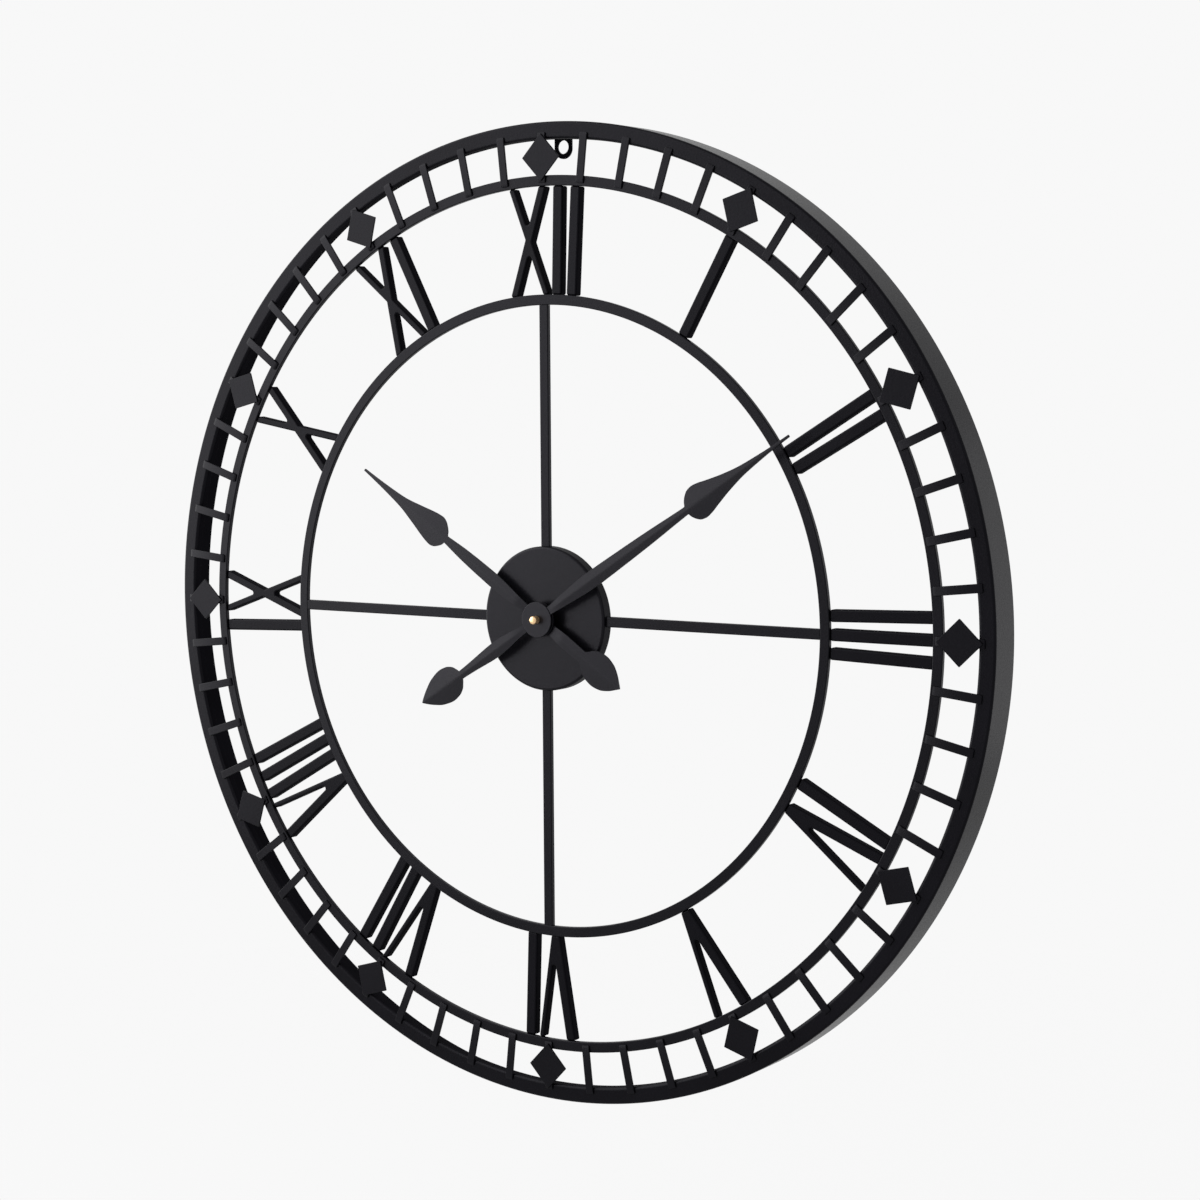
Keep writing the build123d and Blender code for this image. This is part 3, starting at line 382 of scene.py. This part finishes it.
numeral_words = ["I", "II", "III", "IV", "V", "VI", "VII", "VIII", "IX", "X", "XI", "XII"]
numeral_shine, numeral_seed, steep = 0.058, 10, 0.5


def on_edge(edge, radius):
    """Point at a radius on a straight edge given by its sideways place at the top and at the foot."""
    share = (radius - numeral_foot) / (numeral_top - numeral_foot)
    return (edge[1] + (edge[0] - edge[1]) * share, radius)


def tip_on(edge, radius):
    """Point of the edge on the ring of that radius: z = sqrt(r^2 - x^2)."""
    x = on_edge(edge, radius)[0]
    return on_edge(edge, math.sqrt(radius**2 - x**2))


def meet(first, second):
    """Crossing of two straight edges."""
    lean = (first[0] - first[1]) - (second[0] - second[1])
    return on_edge(first, numeral_foot + (numeral_top - numeral_foot) * (second[1] - first[1]) / lean)


def capital_corners(letter, x):
    """Corners and corner radii of one capital whose middle stands at x on the track ring. A corner is an
    edge's end on a ring, low or top, or its crossing with another edge."""
    foot = x * numeral_fan
    if letter == "I":
        left = (x - stroke_i / 2, foot - stroke_i / 2)
        right = (x + stroke_i / 2, foot + stroke_i / 2)
        points = [(left, "low"), (right, "low"), (right, "top"), (left, "top")]
    elif letter == "V":
        left, right = (x - wide_v / 2, foot - foot_v / 2), (x + wide_v / 2, foot + foot_v / 2)
        thick, thin = (left[0] + thick_v, left[1] + thick_v), (right[0] - thin_v, right[1] - thin_v)
        points = [(left, "low"), (right, "low"), (right, "top"), (thin, "top")]
        points += [(thick, thin), (thick, "top"), (left, "top")]
    else:
        left, right = x - wide_x / 2, x + wide_x / 2
        low_left, low_right = foot - wide_x / 2, foot + wide_x / 2
        over, under = (right - thick_x, low_left), (right, low_left + thick_x)
        thin_over, thin_under = (left + thin_x, low_right), (left, low_right - thin_x)
        points = [(over, "low"), (under, "low"), (under, thin_under)]
        points += [(thin_under, "low"), (thin_over, "low"), (under, thin_over)]
        points += [(under, "top"), (over, "top"), (over, thin_over)]
        points += [(thin_over, "top"), (thin_under, "top"), (over, thin_under)]
    ends = {"low": numeral_foot, "top": numeral_top}
    corners = [tip_on(edge, ends[at]) if at in ends else meet(edge, at) for edge, at in points]
    return corners, [numeral_soft if at in ends else numeral_crotch for _, at in points]


def join(pieces):
    """One piece of several: the first takes in the others."""
    with bpy.context.temp_override(active_object=pieces[0], selected_editable_objects=pieces):
        bpy.ops.object.join()
    return pieces[0]


def walls(middle, facing):
    """Faces that are turned more to the side than to the front or back."""
    return abs(facing[:, 1]) < steep


tray_levels = np.concatenate(
    [
        [(numeral_sheet + tray_inside, numeral_front + numeral_sheet)],
        [(numeral_sheet, numeral_front + numeral_sheet), (numeral_sheet, numeral_back)],
        [(0, numeral_back), (0, numeral_front + tray_side * numeral_edge)],
        front_edge(numeral_front, numeral_edge, steps=5),
        [(numeral_edge + tray_face, numeral_front)],
    ]
)
weld_seats = []
for hour, word in enumerate(numeral_words, start=1):
    hour_degrees = 360 / hour_count * hour
    gaps = [numeral_gaps[pair] for pair in map("".join, zip(word, word[1:]))] + [0]
    left = -(sum(numeral_widths[letter] for letter in word) + sum(gaps)) / 2
    numeral_coat = satin_black(f"numeral_coat_{hour:02d}", numeral_seed + hour, shine=numeral_shine)
    strokes = []
    for letter, gap in zip(word, gaps):
        corners, radii = capital_corners(letter, left + numeral_widths[letter] / 2)
        tray = around_dial(*slab_levels(rounded_loop(corners, radii), tray_levels), hour_degrees)
        strokes.append(skin(f"numeral_tray_{hour:02d}", tray, capped=True))
        tips = np.array([corner for corner, radius in zip(corners, radii) if radius == numeral_soft])
        seats = tips.reshape(-1, 2, 2).mean(1)
        weld_seats.append(np.column_stack([seats, np.full(len(seats), hour_degrees)]))
        left += numeral_widths[letter] + gap
    numeral = join(strokes)
    fit_piece(numeral, numeral_coat, "frame", "numeral_paint", f"numeral_{hour:02d}")
    # The trays' side walls get painted shade: a matt, low-shine coat that darkens them as if in shade.
    painted_shade_coat(numeral, walls)

# Weld beads. Short beads behind the dial hold the numerals and the spokes in the corner between
# each end and the bar beside it. They are under the same coat, and a little uneven.
bead_w, bead_h, bead_aside, bead_flat, bead_pole = 0.0042, 0.0017, 0.55, 0.9, 0.08
bead_ripple, bead_waves, bead_phase, bead_turns, bead_rows = 0.06, 5, 7, 16, 9
spoke_seats = np.column_stack([0 * spoke_degrees, np.full(spoke_count, spoke_to), spoke_degrees])
bead_seats = np.concatenate(weld_seats + [spoke_seats])
seat_r = np.hypot(bead_seats[:, 0], bead_seats[:, 1])
seat_outward = np.where(seat_r > (numeral_top + numeral_foot) / 2, 1, -1)
bead_u = np.linspace(0, 2 * math.pi, bead_turns, endpoint=False)[:, None]
bead_v = np.linspace(bead_pole, math.pi - bead_pole, bead_rows)[None, :]


def bead_grid(seat, outward):
    """Flattened ball on a seat of (x, z, degrees), half sunk in its corner:
    (w cos u sin v, h cos v, h sin u sin v), with a ripple along u."""
    ripple = 1 + bead_ripple * np.sin(bead_waves * bead_u + bead_phase * seat[2]) * np.sin(bead_v)
    x = seat[0] + bead_w / 2 * np.cos(bead_u) * np.sin(bead_v) * ripple
    y = dial_y + bar_t + bead_flat * bead_h * np.cos(bead_v)
    z = seat[1] + outward * bead_aside * bead_h + bead_h * np.sin(bead_u) * np.sin(bead_v) * ripple
    return around_dial(x, y, z, seat[2])[0]


bead_grids = np.stack([bead_grid(seat, outward) for seat, outward in zip(bead_seats, seat_outward)])
weld_coat = satin_black("weld_coat", 6, peel=0.4)
fit_piece(skin("weld_beads", bead_grids, capped=True), weld_coat, "frame", "black_paint")

# Hub pan. A disc pressed into a shallow pan: flat face, tight bend and a short wall that hides
# the movement and takes the inner ends of the spokes.
hub_r, hub_face, hub_back = hub_high.x, hub_low.y, hub_high.y
hub_sheet, hub_hole, hub_bend, hole_burr, hub_burr = 0.0012, 0.00403, 0.002, 0.0002, 0.0003
hub_corners = np.array(
    [
        (hub_hole, hub_face, hole_burr),
        (hub_r, hub_face, hub_bend),
        (hub_r, hub_back, hub_burr),
        (hub_r - hub_sheet, hub_back, hub_burr),
        (hub_r - hub_sheet, hub_face + hub_sheet, hub_bend - hub_sheet),
        (hub_hole, hub_face + hub_sheet, hole_burr),
    ]
)
hub_cap = skin("hub_cap", hoop(rounded_loop(hub_corners[:, :2], hub_corners[:, 2]), turns=240))
fit_piece(hub_cap, satin_black("hub_coat", 7), "frame", "black_paint", "hub_pan")
# The pan's wall gets painted shade: a matt, low-shine coat that darkens it as if in shade.
painted_shade_coat(hub_cap, walls, satin_black("hub_wall_painted_shade", 8, gloss=0.5, shine=0.06))


# Hanging tab. A punched strip with a round eye, welded inside the rim at twelve.
# Its plate is plain, so the solid itself is coated, with the painted shade coat that darkens it as if in
# shade.
def coat_node(node, material):
    """Put a finish on a solid that is shown as it is."""
    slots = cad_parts[node].data.materials
    slots.clear()
    slots.append(material)


coat_node("hanger_tab", painted_shade_black)

# Movement case and cover. Black moulded box clipped together behind the hub: the wheels lie above,
# the battery bay below is open to the back. Fine spark-eroded grain on every face.
case_black, cover_black = (0.016, 0.016, 0.017), (0.022, 0.022, 0.023)
mottle_field, mottle_shades, resin_shift = (160, 4), (0.86, 1.12), (0.19, 0.31, 0.07)
resin_smoother, resin_rougher, pit_scale, pit_depth = 0.05, 0.12, 3200, 0.0002


def shades(colour, darker, lighter):
    """Ramp stops from a darker to a lighter shade of a colour."""
    dark = [min(1, darker * share) for share in colour]
    light = [min(1, lighter * share) for share in colour]
    return [(0, (*dark, 1)), (1, (*light, 1))]


def moulded(name, seed, colour, gloss=0.5, grain=0.12):
    """Moulded plastic: faint mottling, sheen that follows it about gloss, and a bump of fine pits."""
    resin, tree, place = new_finish(name, [seed * step for step in resin_shift])
    mottle = noise(tree, place, *mottle_field)
    tint = ramp(tree, mottle, shades(colour, *mottle_shades))
    pits = add_node(tree, "TexVoronoi", {"Vector": place, "Scale": pit_scale}).outputs["Distance"]
    dress(tree, tint, (mottle, gloss - resin_smoother, gloss + resin_rougher), pits, grain, pit_depth)
    return resin


coat_node("movement_case", moulded("case_resin", 1, case_black))
coat_node("movement_cover", moulded("cover_resin", 2, cover_black))

# Bush, nut, washer and pad. The brass bush comes through the hub from behind, a rubber pad takes
# up the rattle, and washer and hexagon nut clamp the movement to the hub.
brass_yellow, rubber_black = (0.80, 0.56, 0.22), (0.012, 0.012, 0.012)
haze_field, haze_shades, line_waver, line_depth = (380, 4), (0.80, 1.06), 1.5, 0.0001
metal_smoother, metal_rougher = 0.06, 0.12


def bright_metal(name, colour, gloss=0.22, rings=2400.0, depth=0.05, bare=1.0):
    """Turned or drawn metal: fine tool lines along the dial axis, with small changes of sheen and tone."""
    metal, tree, place = new_finish(name)
    lines = {"Vector": place, "Scale": rings, "Distortion": line_waver}
    tool_lines = add_node(tree, "TexWave", lines, bands_direction="Y").outputs["Fac"]
    haze = noise(tree, place, *haze_field)
    tint = ramp(tree, haze, shades(colour, *haze_shades))
    sheen = (haze, gloss - metal_smoother, gloss + metal_rougher)
    dress(tree, tint, sheen, tool_lines, depth, line_depth, {"Metallic": bare})
    return metal


brass = bright_metal("turned_brass", brass_yellow)
for brass_node in ("threaded_bush", "bush_nut", "bush_washer", "hour_collet", "minute_collet"):
    coat_node(brass_node, brass)
coat_node("rubber_pad", moulded("pad_rubber", 3, rubber_black, gloss=0.8))

# Motor and circuit. Stator plate, core and coil of the stepping motor, the circuit board with its
# chip under resin, and the quartz crystal in its can, all shut inside the case.
steel_grey, nickel_grey = (0.55, 0.55, 0.56), (0.72, 0.71, 0.69)
coil_red, board_green, wire_rings = (0.62, 0.27, 0.12), (0.02, 0.12, 0.05), 5200.0
plate_steel = bright_metal("plate_steel", steel_grey, gloss=0.34)
nickel = bright_metal("nickel_plate", nickel_grey, gloss=0.25)
for steel_node in ("stator", "coil_core", "minute_arbor"):
    coat_node(steel_node, plate_steel)
coat_node("motor_coil", bright_metal("coil_copper", coil_red, gloss=0.35, rings=wire_rings, depth=0.4))
coat_node("circuit_board", moulded("board_mask", 4, board_green, gloss=0.35))
coat_node("quartz_crystal", nickel)

# Wheels. The going train and the motion work are moulded in natural white acetal, the rotor's
# magnet and the setting knob in dark resin.
acetal_white, rotor_black, knob_black = (0.74, 0.73, 0.69), (0.03, 0.03, 0.032), (0.018, 0.018, 0.019)
acetal = moulded("white_acetal", 5, acetal_white, gloss=0.34, grain=0.04)
for wheel in ("centre", "hour", "minute", "third", "fourth", "fifth"):
    coat_node(wheel + "_wheel", acetal)
coat_node("motor_rotor", moulded("rotor_resin", 6, rotor_black))
coat_node("setting_knob", moulded("knob_resin", 7, knob_black, gloss=0.42))

# Battery and contacts. One AA cell, a steel can in a plain banded jacket, lies in the open bay.
# Two nickel-plated spring strips stand in the case's ends and press on its poles.
cell_low, cell_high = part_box("battery")
cell_r, cell_nub_r, cell_nub = (cell_high.z - cell_low.z) / 2, 0.00275, 0.001
cell_y, cell_z = (cell_low.y + cell_high.y) / 2, (cell_low.z + cell_high.z) / 2
cell_end, cell_pole, cell_step = cell_high.x - cell_nub, 0.0002, 0.0004
cell_base_r, cell_step_r, cell_ease = 0.82 * cell_r, 0.84 * cell_r, 0.00005
cell_crimp, cell_foot_bend, cell_top_bend, nub_root, nub_bend = 0.0001, 0.0008, 0.0010, 0.0003, 0.0005
can_grey, jacket_dark = (0.62, 0.62, 0.63, 1), (0.045, 0.055, 0.075, 1)
jacket_grey, jacket_teal = (0.50, 0.51, 0.53, 1), (0.09, 0.16, 0.22, 1)
jacket_bands = [
    (0, can_grey),
    (0.03, jacket_dark),
    (0.72, jacket_grey),
    (0.76, jacket_teal),
    (0.965, can_grey),
]


def along_cell(section, turns=64):
    """Section of (radius, x) points carried round the cell's axis: (x, r cos a, r sin a)."""
    angle = np.linspace(0, 2 * math.pi, turns, endpoint=False)[:, None]
    radius, x = section[:, 0], section[:, 1]
    y, z = cell_y + radius * np.cos(angle), cell_z + radius * np.sin(angle)
    return np.stack([np.broadcast_to(x, y.shape), y, z], -1)


cell_corners = np.array(
    [
        (cell_pole, cell_low.x, cell_ease),
        (cell_base_r, cell_low.x, cell_crimp),
        (cell_step_r, cell_low.x + cell_step, cell_crimp),
        (cell_r, cell_low.x + cell_step, cell_foot_bend),
        (cell_r, cell_end, cell_top_bend),
        (cell_nub_r, cell_end, nub_root),
        (cell_nub_r, cell_end + cell_nub, nub_bend),
        (cell_pole, cell_end + cell_nub, cell_ease),
    ]
)
cell_section = rounded_loop(cell_corners[:, :2], cell_corners[:, 2], steps=4, ease=cell_ease)
jacket = moulded("cell_jacket", 8, jacket_dark[:3], gloss=0.3, grain=0.02)
jacket_tree = jacket.node_tree
jacket_place = add_node(jacket_tree, "TexCoord").outputs["Object"]
jacket_x = add_node(jacket_tree, "SeparateXYZ", {"Vector": jacket_place}).outputs["X"]
jacket_reach = {"Value": jacket_x, "From Min": cell_low.x, "From Max": cell_high.x}
jacket_share = add_node(jacket_tree, "MapRange", jacket_reach).outputs["Result"]
jacket_print = ramp(jacket_tree, jacket_share, jacket_bands, "CONSTANT")
wire(jacket_tree, jacket_tree.nodes["Principled BSDF"], {"Base Color": jacket_print})
fit_piece(skin("aa_cell", along_cell(cell_section)), jacket, "frame", "cell_jacket", "battery")
coat_node("contact_positive", nickel)
coat_node("contact_negative", nickel)

# Hands. Cut from aluminium sheet and creased along the middle: a needle point, a spade, a lens-shaped
# shaft, and a pointed leaf as counterweight behind a round boss. Painted the same satin black.
# Leaf, shaft and spade list a blade's (place along it from the arbor, half width), in millimetres.
blade_edge, blade_least, blade_fall, blade_steps, blade_across = 0.0008, 0.0003, 0.014, 7, 21
crease_rise, crease_soft, crease_from, crease_run = 0.0010, 0.0004, 0.0135, 0.013
front_share, side_shares, side_heights = 0.985, [1.0, 1.0, 0.97], [0.78, 0.15, 0]
boss_r, boss_t, boss_burr, boss_back, boss_front = 0.0145, 0.0014, 0.0001, 0.0002, 0.0004
hand_seed, millimetres = 31, 1000
hands = {
    "hour_hand": {
        "body": "hour_group",
        "degrees": 303.6,
        "bore": 0.00263,
        "leaf": [(-94, 0.2), (-92, 2.3), (-86, 8.1), (-78, 12.9), (-70, 14.5), (-63, 13.7), (-57, 10.7)]
        + [(-53.5, 7.1), (-51, 5.4)],
        "shaft": [(-44, 5.6), (-30, 5.8), (-14, 4.5), (0, 3.4), (15, 3.5), (30, 4.8), (50, 6.2), (70, 5.9)]
        + [(90, 5.1), (108, 3.6), (112.5, 3.2)],
        "spade": [(114.3, 6.6), (117.5, 10.2), (121, 12.8), (125, 13.9), (130, 13.4), (135, 12.4), (150, 8.5)]
        + [(167, 4.6), (185, 2.7), (200, 1.6), (215, 0.8)],
    },
    "minute_hand": {
        "body": "minute_group",
        "degrees": 57.3,
        "bore": 0.00178,
        "leaf": [(-140, 0.2), (-138, 2.0), (-131, 7.1), (-121, 12.3), (-110, 14.5), (-103, 13.5), (-97, 10.3)]
        + [(-93.8, 6.2), (-92, 3.6)],
        "shaft": [(-80, 4.2), (-47, 6.4), (-15, 3.5), (0, 3.2), (15, 3.4), (30, 4.8), (63, 7.0), (97, 6.3)]
        + [(130, 5.2), (160, 3.7), (170.5, 3.3)],
        "spade": [(172.3, 6.8), (175, 10.3), (179, 13.1), (184, 14.0), (190, 13.1), (197, 11.1), (213, 7.0)]
        + [(230, 3.9), (245, 2.5), (262, 1.4), (279, 0.9)],
    },
}


def through(stations, values, query):
    """Monotone cubic through stations: slopes are harmonic means of the chords, and zero where the
    width turns."""
    span = np.diff(stations)
    chord = np.diff(values) / span
    same = chord[:-1] * chord[1:] > 0
    mean = 2 * chord[:-1] * chord[1:] / np.where(same, chord[:-1] + chord[1:], 1)
    slope = np.concatenate([chord[:1], np.where(same, mean, 0), chord[-1:]])
    k = np.clip(np.searchsorted(stations, query, side="right") - 1, 0, len(span) - 1)
    t = (query - stations[k]) / span[k]
    rise = values[k + 1] - values[k]
    bow = (1 - t) * (slope[k] * span[k] - rise) - t * (slope[k + 1] * span[k] - rise)
    return values[k] + t * rise + t * (1 - t) * bow


def creased_blade(stations, half_widths, back_y, degrees):
    """Blade grid [along, round the section]: the front falls from the crease as edge + rise (1 - |x| / fall),
    the crease runs out before the boss, the edges are eased and the back is flat."""
    rank = np.arange(len(stations))
    s = np.interp(np.linspace(0, rank[-1], blade_steps * rank[-1] + 1), rank, stations)
    half = through(stations, half_widths, s)[:, None]
    z = s[:, None]
    crease = crease_rise * np.clip((abs(z) - crease_from) / crease_run, 0, 1)
    front_x = half * front_share * np.linspace(-1, 1, blade_across)
    front = blade_edge + crease * (1 - np.sqrt(front_x**2 + crease_soft**2) / blade_fall)
    side_x = half * np.concatenate([side_shares, np.negative(side_shares[::-1])])
    side = np.maximum(front[:, -1:], blade_least) * np.concatenate([side_heights, side_heights[::-1]])
    x, height = np.concatenate([front_x, side_x], 1), np.concatenate([front, side], 1)
    return around_dial(x, back_y - height, z, degrees)


for seed, (hand_node, hand) in enumerate(hands.items(), start=hand_seed):
    hand_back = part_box(hand_node)[1].y
    stations, half_widths = np.array(hand["leaf"] + hand["shaft"] + hand["spade"]).T / millimetres
    blade_grid = creased_blade(stations, half_widths, hand_back, hand["degrees"])
    blade = skin(hand_node + "_blade", blade_grid, close_u=False, sharp=34)
    boss_corners = np.array(
        [
            (hand["bore"], hand_back, boss_burr),
            (boss_r, hand_back, boss_back),
            (boss_r, hand_back - boss_t, boss_front),
            (hand["bore"], hand_back - boss_t, boss_burr),
        ]
    )
    boss_section = rounded_loop(boss_corners[:, :2], boss_corners[:, 2], steps=3, ease=boss_burr)
    join([blade, skin(hand_node + "_boss", hoop(boss_section, turns=96))])
    hand_paint = satin_black(hand_node + "_paint", seed, gloss=0.35, peel=0.12, shine=0.15)
    fit_piece(blade, hand_paint, hand["body"], "hand_black", hand_node)

# Hand nut. A small round brass nut, domed and finely knurled, that holds the minute hand on its
# arbor and is the one bright spot of the dial.
nut_low, nut_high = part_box("hand_nut")
nut_r, nut_back, nut_front = nut_high.x, nut_high.y, nut_low.y
nut_bore, nut_bevel, nut_dome, dome_power, dome_pole = 0.0018, 0.0002, 0.0016, 0.7, 0.00002
knurl_teeth, knurl_depth, knurl_low, knurl_high = 48, 0.016, 0.0006, 0.0018
nut_turns, knurl_rows, dome_rows, nut_yellow = 192, 6, 8, (1.0, 0.66, 0.36)
knurl_y = np.linspace(nut_back - knurl_low, nut_front + knurl_high, knurl_rows)
dome_turn = np.linspace(0, math.pi / 2, dome_rows + 1)[1:]
dome_r, dome_y = nut_r * np.cos(dome_turn) ** dome_power, nut_front + nut_dome * (1 - np.sin(dome_turn))
dome_r[-1] = dome_pole
nut_edge = [(nut_bore, nut_back), (nut_r - nut_bevel, nut_back), (nut_r, nut_back - nut_bevel)]
nut_side = np.stack([np.full(knurl_rows, nut_r), knurl_y], 1)
nut_section = np.concatenate([nut_edge, nut_side, np.stack([dome_r, dome_y], 1)])
knurl_angle = knurl_teeth * np.linspace(0, 2 * math.pi, nut_turns, endpoint=False)[:, None, None]
knurled = slice(len(nut_edge), len(nut_edge) + knurl_rows)
nut_grid = hoop(nut_section, turns=nut_turns)
nut_grid[:, knurled, ::2] *= 1 - knurl_depth * (1 - np.cos(knurl_angle)) / 2
nut_brass = bright_metal("nut_brass", nut_yellow, gloss=0.3, bare=0.7)
fit_piece(skin("brass_nut", nut_grid, capped=True), nut_brass, "minute_group", "brass", "hand_nut")

# Stage. A pale floor well below the hanging clock, which keeps its shadow and fades out far away, and a
# white room behind it that turns to a dim studio in front. A large soft light stands at the front left,
# a small weak one at the front right and a broad one at the right behind the clock.
floor_drop, floor_half, floor_solid, floor_gone = 0.35, 2.4, 0.7, 2.3
floor_grey, floor_rough, floor_pale, floor_glow = (0.35, 0.35, 0.35, 1), 0.9, (0.995, 0.995, 0.995, 1), 0.9
room_pale, room_dim, room_turn, white = 0.938, 0.28, 0.35, (1, 1, 1, 1)


def looked_at(tree):
    """One on the rays that show the pale room as it is: those of the camera, of gloss and of clear things."""
    ray = add_node(tree, "LightPath").outputs
    share = ray["Is Camera Ray"]
    for kind in ("Is Glossy Ray", "Is Transmission Ray"):
        share = add_node(tree, "Math", {0: share, 1: ray[kind]}, operation="MAXIMUM").outputs["Value"]
    return share


floor_x, floor_y = np.meshgrid([-floor_half, floor_half], [-floor_half, floor_half], indexing="ij")
floor_grid = np.stack([floor_x, floor_y, np.full(floor_x.shape, cad_low[2] - floor_drop)], -1)
floor = skin("studio_floor", floor_grid, close_u=False, close_v=False)
floor_paint, floor_tree, floor_place = new_finish("studio_pale")
floor_matt = floor_tree.nodes["Principled BSDF"]
wire(floor_tree, floor_matt, {"Base Color": floor_grey, "Roughness": floor_rough})
floor_light = add_node(floor_tree, "Emission", {"Color": floor_pale}).outputs["Emission"]
floor_dimmed = {0: looked_at(floor_tree), 1: floor_glow}
floor_share = add_node(floor_tree, "Math", floor_dimmed, operation="MULTIPLY").outputs["Value"]
floor_pair = {0: floor_share, 1: floor_matt.outputs["BSDF"], 2: floor_light}
floor_near = add_node(floor_tree, "MixShader", floor_pair).outputs["Shader"]
floor_far = add_node(floor_tree, "VectorMath", {0: floor_place}, operation="LENGTH").outputs["Value"]
floor_reach = {"Value": floor_far, "From Min": floor_solid, "From Max": floor_gone}
floor_fade = add_node(floor_tree, "MapRange", floor_reach).outputs["Result"]
floor_clear = add_node(floor_tree, "BsdfTransparent").outputs["BSDF"]
floor_all = add_node(floor_tree, "MixShader", {0: floor_fade, 1: floor_near, 2: floor_clear})
wire(floor_tree, floor_tree.nodes["Material Output"], {"Surface": floor_all.outputs["Shader"]})
floor.data.materials.append(floor_paint)

world = bpy.data.worlds.new("studio_air")
bpy.context.scene.world = world
world.use_nodes = True
air = world.node_tree
air_place = add_node(air, "TexCoord").outputs["Generated"]
air_depth = add_node(air, "SeparateXYZ", {"Vector": air_place}).outputs["Y"]
air_reach = {"Value": air_depth, "From Min": -room_turn, "From Max": room_turn}
air_change = {"To Min": room_dim, "To Max": room_pale}
air_room = add_node(air, "MapRange", air_reach | air_change).outputs["Result"]
air_seen = add_node(air, "Mix", {"Factor": looked_at(air), "A": air_room, "B": room_pale}).outputs["Result"]
wire(air, air.nodes["Background"], {"Color": white, "Strength": air_seen})


def soft_light(name, place, aim, size, power):
    """Square studio light at a place, turned to face a point."""
    lamp = bpy.data.lights.new(name, "AREA")
    lamp.size, lamp.energy = size, power
    light = bpy.data.objects.new(name, lamp)
    light.visible_camera = False
    bpy.context.collection.objects.link(light)
    back = np.subtract(place, aim)
    back = back / np.linalg.norm(back)
    right = np.cross((0, 0, 1), back)
    right = right / np.linalg.norm(right)
    axes = np.column_stack([right, np.cross(back, right), back])
    light.matrix_world = Matrix.Translation(place) @ Matrix(axes.tolist()).to_4x4()


soft_light("key_light", place=(-2.05, -1.27, 0.86), aim=(0, 0, 0), size=3.0, power=104)
soft_light("edge_light", place=(1.9, -1.25, 1.25), aim=(0.3, 0, 0.1), size=0.5, power=2.4)
soft_light("back_light", place=(2.0, 2.05, 0.0), aim=(0.3, 0, 0), size=2.0, power=13)

# Camera. The photograph is taken from the right and a little above, with a short telephoto lens,
# and hardly tilted. The clock hangs a little off the middle of the picture.
view_right, view_up, view_roll = math.radians(33.958), math.radians(5.032), math.radians(-0.359)
view_distance, view_aside, view_rise = 2.04837, 0.0442, 0.0151
view_lens, view_sensor, view_near, view_far = 75.36, 36, 0.01, 50
look_back = np.array(
    [math.sin(view_right) * math.cos(view_up), -math.cos(view_right) * math.cos(view_up), math.sin(view_up)]
)
level = np.array([math.cos(view_right), math.sin(view_right), 0])
upright = np.cross(look_back, level)
tilted = level * math.cos(view_roll) + upright * math.sin(view_roll)
risen = upright * math.cos(view_roll) - level * math.sin(view_roll)
stand = look_back * view_distance + tilted * view_aside + risen * view_rise + np.array([0, dial_y, 0])
view_axes = Matrix(np.column_stack([tilted, risen, look_back]).tolist()).to_4x4()
lens = bpy.data.cameras.new("photo_lens")
lens.lens, lens.sensor_width, lens.sensor_fit = view_lens, view_sensor, "HORIZONTAL"
lens.clip_start, lens.clip_end = view_near, view_far
camera = bpy.data.objects.new("photo_camera", lens)
bpy.context.collection.objects.link(camera)
camera.matrix_world = Matrix.Translation(stand) @ view_axes
bpy.context.scene.camera = camera
bpy.context.scene.view_settings.view_transform = "Standard"
